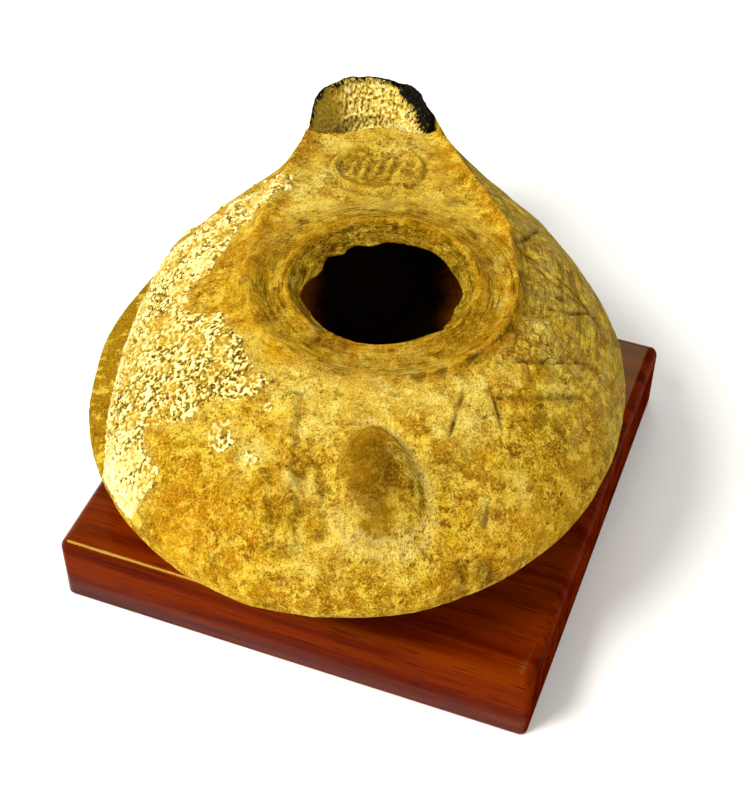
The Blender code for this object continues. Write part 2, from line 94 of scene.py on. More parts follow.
EDGE_HEIGHT = 0.0140
NOZZLE_EDGE_RISE = 0.0060
TOP_HEIGHT = 0.0306
CHANNEL_FALL = 0.0042
CHANNEL_FALL_START = 0.0130
CHANNEL_FALL_END = 0.0460
SHOULDER_FULLNESS = 1.5
SHOULDER_EDGE_ROUND = 1.6
SEAM_BAND = 0.0017
SEAM_BULGE = 0.65
LEDGE_WIDTH = 0.0043
LEDGE_ANGLE = math.radians(179.0)
LEDGE_HALF_SPAN = math.radians(33.0)

FOOT_X = -0.0025
FOOT_Y = 0.0020
FOOT_HALF_WIDTH = 0.0200
FOOT_HALF_LENGTH = 0.0230
FOOT_HEIGHT = 0.0015
FOOT_RECESS = 0.0008
# Insets from the foot's outline and heights, from the outside inward.
FOOT_PROFILE = ((0.0003, 0.0002), (0.0006, 0.0), (0.0018, 0.0), (0.0034, 0.0), (0.0040, FOOT_RECESS))
UNDERSIDE_FLATNESS = 1.3
UNDERSIDE_EDGE_ROUND = 1.6
SIDE_WALL = 0.0036
TOP_WALL = 0.0034
FLOOR_WALL = 0.0038

HOLE_RADIUS = 0.0120
HOLE_EDGE_THICKNESS = 0.0011
HOLE_EDGE_DROP = 0.0010
HOLE_BEVEL = 0.0009
HOLE_WALL_REACH = 0.0080
RIM_RADIUS = 0.0147
RIM_HEIGHT = 0.0015
RIM_WIDTH = 0.0017
RING_RADIUS = 0.0204
RING_HEIGHT = 0.0011
RING_INNER_WIDTH = 0.0018
RING_OUTER_WIDTH = 0.0014
RIM_EDGE_HEIGHT = 0.0005
RIDGE_EDGE_HEIGHT = 0.0004
# Angle in degrees, how far the edge is bitten out or left in, and over how many degrees.
HOLE_BREAKS = (
    (259, 0.0007, 6), (186, 0.0005, 8), (0, 0.0004, 12), (54, 0.0005, 20), (316, 0.0004, 7),
    (154, -0.0014, 12), (124, -0.0011, 7), (99, -0.0009, 8), (291, -0.0004, 10), (342, -0.0005, 6),
)
CHANNEL_ROOT_Y = 0.0120
CHANNEL_ROOT_RADIUS = 0.0198
CHANNEL_RIM_INSET = 0.0016
CHANNEL_BLEND = 0.0030
RIDGE_STEP = 0.0014
RIDGE_STEP_RUN = 0.0010
RIDGE_STEP_ANGLE = math.radians(27.0)
RIDGE_STEP_HALF_SPAN = math.radians(62.0)

WICK_LIP = -0.0005
WICK_BACK_Y = 0.0442
WICK_BACK_BOW = 0.0010
WICK_ARCH = 0.0017
WICK_ARCH_X = -0.0004
WICK_ARCH_WIDTH = 0.0042
WICK_CORNER = 0.0016
WICK_LEAN = 0.0022
# Heights over the channel's end, and how far the wick hole's wall has leaned in there.
WICK_PROFILE = (
    (0.008, 0.0), (0.002, 0.0), (-0.0012, 0.0), (-0.0030, 0.0009), (-TOP_WALL - 0.0025, WICK_LEAN),
)

MEDALLION_X = -0.0009
MEDALLION_Y = 0.0322
MEDALLION_HALF_WIDTH = 0.0072
MEDALLION_HALF_LENGTH = 0.0081
# The worn sign in it: how many strokes, how far they spread, lean and reach, and how high they stand.
STROKES = 5
STROKE_SPREAD = 0.0050
STROKE_LEAN = 0.0006
STROKE_REACHES = (0.0020, 0.0031)
STROKE_HEIGHT = 0.0008
STROKE_WIDTH = 0.0005
KNOB_X = -0.0004
KNOB_Y = -0.0352
KNOB_HALF_LENGTH = 0.0073
KNOB_HALF_WIDTH = 0.0060
KNOB_TAPER = 0.28
KNOB_LEAN = -0.14
KNOB_HEIGHT = 0.0047
KNOB_ROUND = 0.75
KNOB_BLEND = 0.0017
KNOB_ARC_HEIGHT = 0.00035

RIB_HEIGHT = 0.0009
RIB_WIDTH = 0.0008
CUT_DEPTH = 0.0004
CUT_WIDTH = 0.0004
RIBS = (
    ((-0.0125, -0.0231), (-0.0131, -0.0319), (-0.0127, -0.0396), (-0.0124, -0.0428)),
    ((-0.0167, -0.0336), (-0.0164, -0.0386), (-0.0159, -0.0416)),
    ((-0.0168, -0.0342), (-0.0122, -0.0346)),
    ((-0.0166, -0.0386), (-0.0118, -0.0393)),
    ((-0.0095, -0.0340), (-0.0090, -0.0385), (-0.0086, -0.0410)),
)
CUTS = (
    ((0.0169, -0.0156), (0.0209, -0.0144), (0.0256, -0.0124), (0.0313, -0.0091)),
    ((0.0166, -0.0214), (0.0207, -0.0205), (0.0253, -0.0187), (0.0298, -0.0160)),
    ((0.0255, -0.0016), (0.0287, -0.0007), (0.0318, 0.0021)),
    ((0.0222, 0.0094), (0.0257, 0.0061), (0.0291, 0.0037), (0.0324, 0.0031)),
    ((0.0214, 0.0105), (0.0253, 0.0084), (0.0301, 0.0055), (0.0330, 0.0019)),
    ((0.0198, 0.0106), (0.0225, 0.0141), (0.0255, 0.0213)),
    ((0.0156, -0.0200), (0.0164, -0.0226), (0.0172, -0.0258)),
    ((0.0117, -0.0217), (0.0108, -0.0246), (0.0097, -0.0281)),
    ((0.0151, -0.0361), (0.0146, -0.0384)),
    ((0.0217, -0.0159), (0.0218, -0.0170)),
)

# Dents in the clay: place, radius and depth.
DENTS = (
    (0.0271, -0.0222, 0.0016, 0.0010), (-0.0098, -0.0118, 0.0014, 0.0009), (0.0076, 0.0234, 0.0016, 0.0005),
)

MILLIMETRE = 0.001

# Fineness of the lamp's mesh, and how often the search for an outline halves its step.
HALVINGS = 40
COLUMNS = 600
NOZZLE_COLUMN_ANGLE = math.radians(93.0)
NOZZLE_COLUMN_DENSITY = 1.8
NOZZLE_COLUMN_SPREAD = math.radians(20.0)
TOP_ROWS = 104

# Where the lime crust lies on the left shoulder: its inner edge from the nozzle round to the back.
CRUST_EDGE = (
    (-0.0148, 0.0255), (-0.0176, 0.0196), (-0.0249, 0.0085), (-0.0295, 0.0026), (-0.0300, -0.0016),
    (-0.0240, -0.0054), (-0.0184, -0.0122), (-0.0154, -0.0198), (-0.0203, -0.0228), (-0.0304, -0.0242),
    (-0.0334, -0.0234), (-0.0319, -0.0279), (-0.0317, -0.0317), (-0.0348, -0.0329), (-0.0330, -0.0420),
    (-0.0600, -0.0420), (-0.0600, 0.0250), (-0.0316, 0.0200), (-0.0288, 0.0232), (-0.0262, 0.0226),
    (-0.0240, 0.0282), (-0.0212, 0.0268), (-0.0196, 0.0310), (-0.0170, 0.0282), (-0.0152, 0.0276),
)
# Loose patches of the same crust: place and radius.
CRUST_ISLANDS = (
    (-0.0222, -0.0275, 0.0021), (-0.0184, -0.0312, 0.0019), (-0.0240, -0.0262, 0.0014),
    (-0.0104, -0.0366, 0.0012), (-0.0285, 0.0070, 0.0030), (-0.0262, 0.0278, 0.0014),
    (-0.0214, 0.0322, 0.0012), (-0.0318, 0.0236, 0.0010), (-0.0156, -0.0238, 0.0009),
)

# Where the crust is whitest: place, radius and strength.
CRUST_WHITES = (
    (-0.0400, -0.0265, 0.0042, 1.0), (-0.0365, -0.0325, 0.0032, 1.0), (-0.0284, 0.0082, 0.0022, 1.0),
    (-0.0184, -0.0312, 0.0014, 0.6),
)
# Its sheet: from where to where round the lamp, how far in from the edge, and how fine.
CRUST_START = math.radians(104.0)
CRUST_END = math.radians(250.0)
CRUST_REACH = 0.0240
CRUST_COLUMNS = 520
CRUST_ROWS = 130
CRUST_GRAIN = 0.00055
CRUST_CLUMP = 0.00080
CRUST_GAP = 0.00058
# The deposit's sheet: where its rays start, how far they reach, between which angles, and how fine it is.
DEPOSIT_EYE = (NOZZLE_TIP_X, 0.0495, 0.0235)
DEPOSIT_REACH = 0.0140
DEPOSIT_TURNS = (-22.0, 202.0)
DEPOSIT_LIFTS = (-52.0, 24.0)
DEPOSIT_COLUMNS = 300
DEPOSIT_ROWS = 120
DEPOSIT_GRAIN = 0.00042
DEPOSIT_GAP = 0.00048

# Marks and washes of colour: place and radius in millimetres, and strength.
STAINS = (
    (-12.7, 15.6, 0.6, 1.0), (-15.7, -19.7, 0.4, 0.9), (11.6, 20.9, 1.2, 0.45), (-9.2, -12.8, 1.7, 0.8),
    (-6.0, -14.8, 1.5, 0.6), (27.4, 1.7, 0.9, 0.7), (11.2, -44.0, 0.8, 0.8), (14.0, -42.5, 0.8, 0.7),
    (15.2, -42.6, 0.6, 0.7), (-23.0, -42.3, 0.5, 0.8), (27.1, -22.2, 1.6, 0.6), (22.9, -22.8, 0.8, 0.5),
    (-7.7, 9.4, 0.6, 0.9), (2.0, 13.0, 0.6, 0.8),
)
CREAM = (
    (-11.6, -21.4, 4.5, 0.9), (-7.3, -20.8, 3.5, 0.8), (-0.9, -22.5, 4.0, 0.9), (4.1, -21.3, 4.5, 0.9),
    (-9.8, -26.2, 4.0, 0.8), (12.8, -21.8, 3.4, 1.0), (11.0, -26.0, 3.0, 1.0), (-5.2, -41.8, 3.4, 0.5),
    (3.0, -43.6, 2.2, 0.7), (-11.0, -44.2, 2.6, 0.5), (5.3, -34.0, 2.4, 0.5), (18.6, -17.2, 1.8, 0.8),
    (24.6, -11.2, 1.8, 0.8), (24.4, -6.7, 1.8, 0.6), (19.7, -33.3, 1.8, 0.7), (-13.4, 24.4, 2.4, 0.8),
    (-9.2, 29.5, 3.6, 0.9), (-11.6, 20.2, 3.4, 1.0), (-7.0, 41.0, 2.6, 0.8), (6.3, 38.5, 2.2, 0.5),
    (17.8, 5.6, 1.6, 1.0), (17.6, -4.2, 1.2, 1.0), (-17.5, 10.3, 1.4, 0.5), (24.8, 0.1, 1.6, 0.5),
    (26.1, -17.6, 2.0, 0.5), (-22.5, -20.5, 2.2, 0.5), (-10.2, -10.9, 0.8, 1.2), (-18.0, -30.6, 2.4, 0.8),
    (0.0, 20.5, 3.0, 0.7), (8.0, 21.0, 2.5, 0.5), (3.0, 39.6, 3.5, 0.8), (14.5, -37.0, 1.8, 0.5),
    (-13.0, -35.5, 0.9, 1.3), (-9.9, -36.4, 0.9, 1.3), (34.6, -17.0, 1.2, 1.0), (-2.5, -20.5, 5.0, 0.7),
)
OLIVE = (
    (9.9, -32.6, 3.0, 0.9), (8.6, -36.5, 2.0, 0.5), (22.6, -22.7, 2.2, 0.9), (-27.2, -27.2, 3.6, 0.8),
    (-22.0, -30.0, 3.0, 0.6), (-16.9, -1.5, 2.4, 0.9), (-15.8, -7.9, 2.6, 0.9), (-13.4, -12.2, 2.0, 0.6),
    (-2.9, 32.8, 5.0, 0.5), (-16.5, 4.5, 2.4, 0.8), (19.8, -26.6, 2.8, 0.6), (-4.9, -40.2, 1.6, 0.5),
    (25.8, -25.7, 3.0, 0.6), (-20.4, -32.3, 2.4, 0.5),
    (-11.4, -34.0, 2.2, 0.9), (-14.8, -37.5, 2.4, 0.9), (-12.6, -41.0, 2.8, 1.0), (-7.8, -38.0, 1.8, 0.8),
    (-12.5, 33.0, 2.4, 0.7), (7.5, 25.6, 1.6, 0.6), (0.0, -46.6, 2.5, 0.5), (-3.0, -35.0, 1.6, 0.5),
    (10.0, 29.5, 3.6, 1.0), (8.5, 24.5, 2.6, 0.9), (3.0, 26.5, 2.4, 0.5), (-11.5, 27.5, 2.0, 0.7),
    (-1.0, 42.5, 2.6, 0.7), (4.6, -36.5, 1.8, 0.6), (-1.0, -44.5, 2.4, 0.5), (27.0, -14.5, 3.0, 0.6),
    (23.0, -3.0, 2.4, 0.5), (17.0, -31.0, 2.4, 0.5),
)
RUST = (
    (-22.8, 18.7, 3.4, 0.6), (-20.5, 9.7, 3.6, 0.8), (-22.4, -9.3, 4.0, 0.7), (-19.1, -15.6, 2.6, 0.7),
    (-4.6, -15.9, 3.0, 0.9), (2.6, -16.4, 2.6, 0.8), (9.9, -14.3, 2.6, 0.9), (14.4, -12.0, 2.4, 0.9),
    (20.0, -1.5, 2.0, 1.0), (19.8, 9.9, 2.0, 1.0), (17.8, 17.6, 2.0, 0.9), (12.8, 32.3, 1.8, 0.8),
    (-25.3, -36.4, 5.0, 0.9), (-28.8, -33.6, 2.6, 0.9), (-19.5, -40.5, 3.6, 0.7), (21.2, -35.8, 3.0, 0.6),
    (16.8, -39.3, 2.6, 0.6), (-1.8, -29.6, 1.8, 1.0), (-15.3, -37.0, 1.6, 0.6), (30.7, -22.8, 3.0, 0.6),
    (-5.1, 15.2, 2.0, 0.8), (5.9, 13.8, 2.2, 0.8), (12.0, 9.7, 2.0, 0.7), (-11.0, 10.0, 1.8, 0.8),
    (28.0, -30.0, 3.0, 0.6), (-20.9, 2.0, 1.8, 0.7), (19.6, -22.0, 1.4, 0.6), (9.0, 28.0, 3.2, 0.8),
    (-14.0, -33.0, 3.0, 0.7), (-2.0, 34.5, 1.5, 0.7), (-17.0, 27.0, 1.6, 0.7), (9.5, 33.0, 2.2, 0.6),
)

# The photo's camera, solved on the corners of the base.
CAMERA_LENS = 74.877
CAMERA_SENSOR = 36.0
CAMERA_PLACE = (-0.00014, -0.18799, 0.21345)
CAMERA_TILT = math.radians(90.0 - 45.763)
CAMERA_ROLL = math.radians(0.5734)

# The studio. Each softbox has its place, width, power and colour.
SOFTBOXES = {
    "key": ((-0.42, -0.24, 0.60), 0.30, 6.1, (1.0, 0.98, 0.92)),
    "front": ((0.05, -0.60, 0.55), 0.40, 1.1, (1.0, 0.98, 0.93)),
    "back": ((0.10, 0.75, 0.75), 0.60, 1.8, (1.0, 0.99, 0.96)),
}
LIT_POINT = (0.0, 0.0, 0.03)
SKY_COLOUR = (1.0, 0.99, 0.95, 1.0)
SKY_STRENGTH = 0.57
PAPER_COLOUR = (0.93, 0.93, 0.92, 1.0)
FLOOR_HALF = 3.0
FLOOR_GAP = 0.0001


def smooth_min(a, b, reach):
    share = np.clip(0.5 + 0.5 * (b - a) / reach, 0.0, 1.0)
    return b + (a - b) * share - reach * share * (1.0 - share)


def ramp(t):
    t = np.clip(t, 0.0, 1.0)
    return t * t * (3.0 - 2.0 * t)


def bump(distance, width):
    return np.exp(-(distance / width) ** 2)


def ellipse_field(x, y, centre_x, centre_y, half_width, half_length):
    reach = np.hypot((x - centre_x) / half_width, (y - centre_y) / half_length)
    return (reach - 1.0) * min(half_width, half_length)


def segment_distance(x, y, start, end):
    """How far along a segment the nearest point lies, from 0 to 1, and the distance to it."""
    run_x = end[0] - start[0]
    run_y = end[1] - start[1]
    share = ((x - start[0]) * run_x + (y - start[1]) * run_y) / (run_x ** 2 + run_y ** 2)
    share = np.clip(share, 0.0, 1.0)
    return share, np.hypot(x - start[0] - share * run_x, y - start[1] - share * run_y)


def taper_field(x, y, start, start_radius, end, end_radius, waist=0.0):
    share, away = segment_distance(x, y, start, end)
    return away - (start_radius + (end_radius - start_radius) * share) + waist * np.sin(math.pi * share)


def outline_field(x, y):
    """Negative inside the lamp's pear-shaped plan."""
    across = (x - BOWL_X) * math.cos(BOWL_TURN) + (y - BOWL_Y) * math.sin(BOWL_TURN)
    along = (y - BOWL_Y) * math.cos(BOWL_TURN) - (x - BOWL_X) * math.sin(BOWL_TURN)
    bowl = ellipse_field(across, along, 0.0, 0.0, BOWL_HALF_WIDTH, BOWL_HALF_LENGTH)
    nozzle = taper_field(x, y, (FLARE_X, FLARE_Y), FLARE_RADIUS,
                         (NOZZLE_TIP_X, NOZZLE_TIP_Y), NOZZLE_TIP_RADIUS, NOZZLE_WAIST)
    return smooth_min(bowl, nozzle, NOZZLE_BLEND)


def plateau_field(x, y):
    """Negative inside the crest line of the ring and of the channel's ridges."""
    ring = np.hypot(x, y) - RING_RADIUS
    tip = (NOZZLE_TIP_X, NOZZLE_TIP_Y)
    channel = taper_field(x, y, (0.0, CHANNEL_ROOT_Y), CHANNEL_ROOT_RADIUS,
                          tip, NOZZLE_TIP_RADIUS - CHANNEL_RIM_INSET)
    return smooth_min(ring, channel, CHANNEL_BLEND)


def wick_field(x, y, inset):
    bow = WICK_BACK_BOW * ((x - NOZZLE_TIP_X) / NOZZLE_TIP_RADIUS) ** 2
    bow = bow - WICK_ARCH * bump(x - WICK_ARCH_X, WICK_ARCH_WIDTH)
    back = WICK_BACK_Y - bow + (inset - WICK_LIP) - y
    return -smooth_min(-(plateau_field(x, y) + inset), -back, WICK_CORNER)


def level_radius(theta, field, level, centre=(0.0, 0.0)):
    """Distance from the centre, along each angle, at which a field reaches a level."""
    near = np.zeros_like(theta)
    far = np.full_like(theta, 2.0 * (BOWL_HALF_LENGTH + NOZZLE_TIP_Y))
    for _ in range(HALVINGS):
        middle = 0.5 * (near + far)
        inside = field(centre[0] + middle * np.cos(theta), centre[1] + middle * np.sin(theta)) < level
        near = np.where(inside, middle, near)
        far = np.where(inside, far, middle)
    return 0.5 * (near + far)


def angle_between(theta, middle):
    return (theta - middle + math.pi) % (2.0 * math.pi) - math.pi


def ledge_share(theta):
    away = np.abs(angle_between(theta, LEDGE_ANGLE)) / LEDGE_HALF_SPAN
    return np.clip(1.0 - away ** 2.5, 0.0, 1.0)


def edge_distance(x, y, theta):
    return -outline_field(x, y) - LEDGE_WIDTH * ledge_share(theta)


def step_share(theta):
    away = np.abs(angle_between(theta, RIDGE_STEP_ANGLE)) / RIDGE_STEP_HALF_SPAN
    return np.clip(1.0 - away ** 3, 0.0, 1.0)


def top_level(y):
    run = (y - CHANNEL_FALL_START) / (CHANNEL_FALL_END - CHANNEL_FALL_START)
    return TOP_HEIGHT - CHANNEL_FALL * ramp(run)


def edge_level(y):
    return EDGE_HEIGHT + NOZZLE_EDGE_RISE * ramp((y - FLARE_Y) / (NOZZLE_TIP_Y - FLARE_Y))


def plain_height(x, y):
    """Upper surface without its relief."""
    theta = np.arctan2(y, x)
    to_edge = np.maximum(edge_distance(x, y, theta), 0.0)
    past_crest = np.maximum(plateau_field(x, y), 0.0)
    share = to_edge / (to_edge + past_crest + 1e-9)
    climb = (1.0 - (1.0 - share) ** SHOULDER_FULLNESS) ** (1.0 / SHOULDER_EDGE_ROUND)
    step = RIDGE_STEP * step_share(theta) * ramp(past_crest / RIDGE_STEP_RUN)
    return edge_level(y) + (top_level(y) - step - edge_level(y)) * climb


def ring_relief(x, y):
    """The rim round the filling hole, and the crest of the ring and the ridges."""
    out = np.hypot(x, y)
    past_crest = plateau_field(x, y)
    width = np.where(past_crest < 0.0, RING_INNER_WIDTH, RING_OUTER_WIDTH)
    from_rim = out - RIM_RADIUS
    rim = (RIM_HEIGHT - 0.0002) * bump(from_rim, RIM_WIDTH) + RIM_EDGE_HEIGHT * bump(from_rim, 0.0006)
    sharp = RIDGE_EDGE_HEIGHT * bump(past_crest - 0.0002, 0.0006) * ramp(x / 0.01 + 0.6)
    return rim + RING_HEIGHT * bump(past_crest, width) + sharp


def foot_field(x, y):
    return ellipse_field(x, y, FOOT_X, FOOT_Y, FOOT_HALF_WIDTH, FOOT_HALF_LENGTH)


def lower_height(share, seam):
    climb = 1.0 - (1.0 - share ** UNDERSIDE_FLATNESS) ** (1.0 / UNDERSIDE_EDGE_ROUND)
    return FOOT_HEIGHT + (seam - FOOT_HEIGHT) * climb


def path_distance(x, y, corners):
    """Distance from a broken line, in metres."""
    nearest = np.full(np.shape(x), 1.0)
    for start, end in zip(corners[:-1], corners[1:]):
        nearest = np.minimum(nearest, segment_distance(x, y, start, end)[1])
    return nearest


def inside_share(x, y, corners):
    """Signed distance to a closed outline: positive inside."""
    inside = np.zeros(np.shape(x), bool)
    for (x0, y0), (x1, y1) in zip(corners, corners[1:] + corners[:1]):
        crosses = (y0 > y) != (y1 > y)
        at = x0 + (y - y0) * (x1 - x0) / np.where(y1 == y0, 1e-12, y1 - y0)
        inside ^= crosses & (x < at)
    away = path_distance(x, y, corners + corners[:1])
    return np.where(inside, away, -away)


def knob_relief(x, y):
    """Height of the knob handle over the shoulder, negative outside its foot."""
    along = (y - KNOB_Y) / KNOB_HALF_LENGTH
    narrow = 1.0 - KNOB_TAPER * np.clip(along, -1.0, 1.0)
    across = (x - KNOB_X - KNOB_LEAN * (y - KNOB_Y)) / (KNOB_HALF_WIDTH * narrow)
    reach = np.hypot(along, across)
    rise = KNOB_HEIGHT * np.clip(1.0 - reach ** 2, 0.0, 1.0) ** KNOB_ROUND
    return np.where(reach < 1.0, rise, -KNOB_HEIGHT * (reach - 1.0))


def knob_arcs(y, rise):
    """Fine ridges that the mould left round the front of the knob's foot."""
    front = ramp((KNOB_Y - 0.0030 - y) / 0.0020)
    return front * (bump(rise + 0.0001, 0.00030) + bump(rise + 0.0010, 0.00030))


def rough(points, size, octaves=4, seed=0.0):
    """Fractal noise about 0, with features of the given size in metres."""
    scaled = points / size + np.array((11.3 + seed, 4.7 - seed, 7.9 + 2.0 * seed))
    return np.array([noise.fractal(p, 1.0, 2.0, octaves) for p in scaled.tolist()])


def grains(points, size, seed=0.0):
    """Cell noise: distance to the nearest and the second nearest grain, in grain sizes."""
    scaled = points / size + np.array((3.1 + seed, 8.3 - seed, 1.7 + 2.0 * seed))
    found = [noise.voronoi(p)[0][:2] for p in scaled.tolist()]
    return np.array(found).T


def plan(points):
    return points[:, 0], points[:, 1]


def shoulder_relief(x, y):
    """Raised ribs on the left, and the lines cut on the right."""
    height = np.zeros_like(x)
    for corners in RIBS:
        height += RIB_HEIGHT * bump(path_distance(x, y, corners), RIB_WIDTH)
    for corners in CUTS:
        height -= CUT_DEPTH * bump(path_distance(x, y, corners), CUT_WIDTH)
    return height


def medallion_relief(x, y):
    across = (x - MEDALLION_X) / MEDALLION_HALF_WIDTH
    along = (y - MEDALLION_Y) / MEDALLION_HALF_LENGTH
    ring = (np.hypot(across, along) - 1.0) * MEDALLION_HALF_WIDTH
    height = 0.0008 * bump(ring, 0.00055) - 0.0004 * ramp((-ring - 0.0004) / 0.0006)
    height -= 0.0003 * bump(ring - 0.0010, 0.0005)
    for number in range(STROKES):
        middle = MEDALLION_X + ((number + 0.5) / STROKES * 2.0 - 1.0) * STROKE_SPREAD
        reach = STROKE_REACHES[number % 2]
        stroke = ((middle - STROKE_LEAN, MEDALLION_Y - reach), (middle + STROKE_LEAN, MEDALLION_Y + reach))
        height += STROKE_HEIGHT * bump(path_distance(x, y, stroke), STROKE_WIDTH)
    return height


def collar_relief(x, y):
    """Layers of clay that show in the slope from the rim down to the filling hole."""
    theta = np.arctan2(y, x)
    out = np.hypot(x, y)
    far_side = ramp((np.sin(theta) + 0.2) / 0.8)
    slope = ramp((RIM_RADIUS + 0.0003 - out) / 0.0008)
    wander = 0.00035 * np.sin(3.0 * theta + 1.0) + 0.0002 * np.sin(7.0 * theta)
    layers = np.sin((out + wander) / 0.00115 * 2.0 * math.pi)
    return 0.00022 * layers * slope * (0.35 + 0.65 * far_side)


def upper_surface(x, y):
    """The whole upper surface: form, rings, relief and knob."""
    height = plain_height(x, y)
    height = height + ring_relief(x, y) + shoulder_relief(x, y)
    height = height + medallion_relief(x, y) + collar_relief(x, y)
    rise = knob_relief(x, y)
    knob = plain_height(x, y) + rise
    return KNOB_ARC_HEIGHT * knob_arcs(y, rise) - smooth_min(-height, -knob, KNOB_BLEND)


def column_angles():
    fine = np.linspace(-math.pi, math.pi, 7201)
    away = angle_between(fine, NOZZLE_COLUMN_ANGLE) / NOZZLE_COLUMN_SPREAD
    density = 1.0 + NOZZLE_COLUMN_DENSITY * np.exp(-away ** 2)
    total = np.concatenate(([0.0], np.cumsum(0.5 * (density[1:] + density[:-1]))))
    return np.interp(np.arange(COLUMNS) / COLUMNS * total[-1], total, fine)


def hole_radius(theta):
    radius = np.full_like(theta, HOLE_RADIUS)
    for angle, depth, spread in HOLE_BREAKS:
        radius = radius + depth * bump(np.degrees(angle_between(theta, math.radians(angle))), spread)
    edge = ring_row(theta, HOLE_RADIUS, 0.0)
    return radius + 0.00022 * rough(edge, 0.0040, 3, 12.0) + 0.00010 * rough(edge, 0.0009, 2, 13.0)


def ring_row(theta, radius, height):
    height = np.broadcast_to(height, theta.shape)
    return np.stack([radius * np.cos(theta), radius * np.sin(theta), height], axis=1)


def surface_row(theta, radius, surface, drop=0.0):
    return ring_row(theta, radius, surface(radius * np.cos(theta), radius * np.sin(theta)) - drop)


def plan_edges(theta):
    """Distance of the outline and of the ledge's inner edge, along each angle."""
    outline = level_radius(theta, outline_field, 0.0)
    return outline, outline - LEDGE_WIDTH * ledge_share(theta)


def lower_edges(theta, outline):
    """Distance of the foot's outline and height of the seam's lower edge, along each angle."""
    foot = level_radius(theta, foot_field, 0.0)
    return foot, edge_level(outline * np.sin(theta)) - SEAM_BULGE * SEAM_BAND


def upper_rows(theta, edge):
    hole = hole_radius(theta)
    rows = []
    for share in np.linspace(0.0, 0.985, TOP_ROWS):
        radius = hole + share ** 1.08 * (edge - hole)
        rows.append(surface_row(theta, radius, upper_surface, HOLE_EDGE_DROP * bump(radius - hole, 0.0012)))
    return rows


def seam_rows(theta, edge, outline):
    seam = edge_level(outline * np.sin(theta))
    wide = outline - edge
    rows = [ring_row(theta, edge, seam + 0.35 * SEAM_BAND)]
    for share in (0.05, 0.35, 0.65, 0.92):
        fall = 0.25 * SEAM_BAND * max(0.0, share - 0.05)
        rows.append(ring_row(theta, edge + share * wide, seam - fall))
    rows.append(ring_row(theta, outline, seam - SEAM_BULGE * SEAM_BAND))
    return rows


def under_rows(theta, outline):
    foot, seam = lower_edges(theta, outline)
    rows = []
    for share in np.linspace(0.985, 0.0, 24):
        rows.append(ring_row(theta, foot + share * (outline - foot), lower_height(share, seam)))
    for inset, height in FOOT_PROFILE:
        rows.append(ring_row(theta, foot - inset, height))
    for share in (0.7, 0.4, 0.15):
        rows.append(ring_row(theta, share * (foot - 0.0041), FOOT_RECESS))
    return rows


def hollow_rows(theta, edge, outline):
    hole = hole_radius(theta)
    wall = level_radius(theta, outline_field, -SIDE_WALL) - 0.85 * (outline - edge)
    foot, seam = lower_edges(theta, outline)
    edge_top = HOLE_EDGE_DROP + 0.5 * HOLE_EDGE_THICKNESS
    rows = [
        surface_row(theta, hole - 0.0002, plain_height, edge_top - 0.0004),
        surface_row(theta, hole + 0.0001, plain_height, edge_top + 0.0001),
        surface_row(theta, hole + HOLE_BEVEL, plain_height, edge_top + 0.5 * HOLE_EDGE_THICKNESS),
        surface_row(theta, hole + HOLE_WALL_REACH, plain_height, TOP_WALL),
    ]
    for share in np.linspace(0.1, 1.0, 9):
        radius = hole + HOLE_WALL_REACH + share * (wall - hole - HOLE_WALL_REACH)
        rows.append(surface_row(theta, radius, plain_height, TOP_WALL))
    for share in (0.995, 0.96, 0.9, 0.8, 0.65, 0.5, 0.3, 0.1):
        radius = share * wall
        out = np.clip((radius - foot) / (outline - foot), 0.0, 1.0)
        rows.append(ring_row(theta, radius, lower_height(out, seam) + FLOOR_WALL))
    return rows


def grid_mesh(name, rows, closed=True):
    """Quads between rings or rows of points, with a pole point at each end of a closed mesh."""
    height = len(rows)
    width = len(rows[0])
    points = np.concatenate(rows)
    across = np.arange(width if closed else width - 1)
    after = (across + 1) % width
    lower = width * np.arange(height - 1)[:, None]
    here, there = lower + across, lower + after
    faces = np.stack([here, there, there + width, here + width], axis=2).reshape(-1, 4).tolist()
    if closed:
        poles = np.array([rows[0].mean(axis=0), rows[-1].mean(axis=0)])
        first = len(points)
        points = np.concatenate([points, poles])
        last = (height - 1) * width
        faces += [(b, a, first) for a, b in zip(across.tolist(), after.tolist())]
        faces += [(last + a, last + b, first + 1) for a, b in zip(across.tolist(), after.tolist())]
    mesh = bpy.data.meshes.new(name)
    mesh.from_pydata(points.tolist(), [], faces)
    mesh.update()
    return mesh


def read_vectors(items, attribute):
    vectors = np.empty(len(items) * 3)
    items.foreach_get(attribute, vectors)
    return vectors.reshape(-1, 3)


def read_points(mesh):
    return read_vectors(mesh.vertices, "co")


def read_normals(mesh):
    return read_vectors(mesh.vertex_normals, "vector")


def write_points(mesh, points):
    mesh.vertices.foreach_set("co", np.ascontiguousarray(points).ravel())
    mesh.update()


def write_mask(mesh, name, values):
    layer = mesh.attributes.new(name, 'FLOAT', 'POINT')
    layer.data.foreach_set("value", np.ascontiguousarray(values, dtype=np.float32))


def write_way(mesh, name, parts):
    """Stores coordinates for a pattern that follows the form."""
    layer = mesh.attributes.new(name, 'FLOAT_VECTOR', 'POINT')
    layer.data.foreach_set("vector", np.stack(parts, axis=1).astype(np.float32).ravel())


def add_object(name, data):
    made = bpy.data.objects.new(name, data)
    bpy.context.scene.collection.objects.link(made)
    return made


def add_piece(name, mesh, material):
    piece = add_object(name, mesh)
    mesh.materials.clear()
    mesh.materials.append(material)
    mesh.shade_smooth()
    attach(piece, "root")
    return piece


def wash(x, y, spots, shift_x, shift_y):
    """Strength of a group of washes, with their edges pushed about by noise."""
    strength = np.zeros_like(x)
    for place_x, place_y, radius, depth in spots:
        away_x = x / MILLIMETRE - place_x + radius * shift_x
        away_y = y / MILLIMETRE - place_y + radius * shift_y
        strength = np.maximum(strength, depth * np.exp(-(away_x ** 2 + away_y ** 2) / radius ** 2))
    return strength


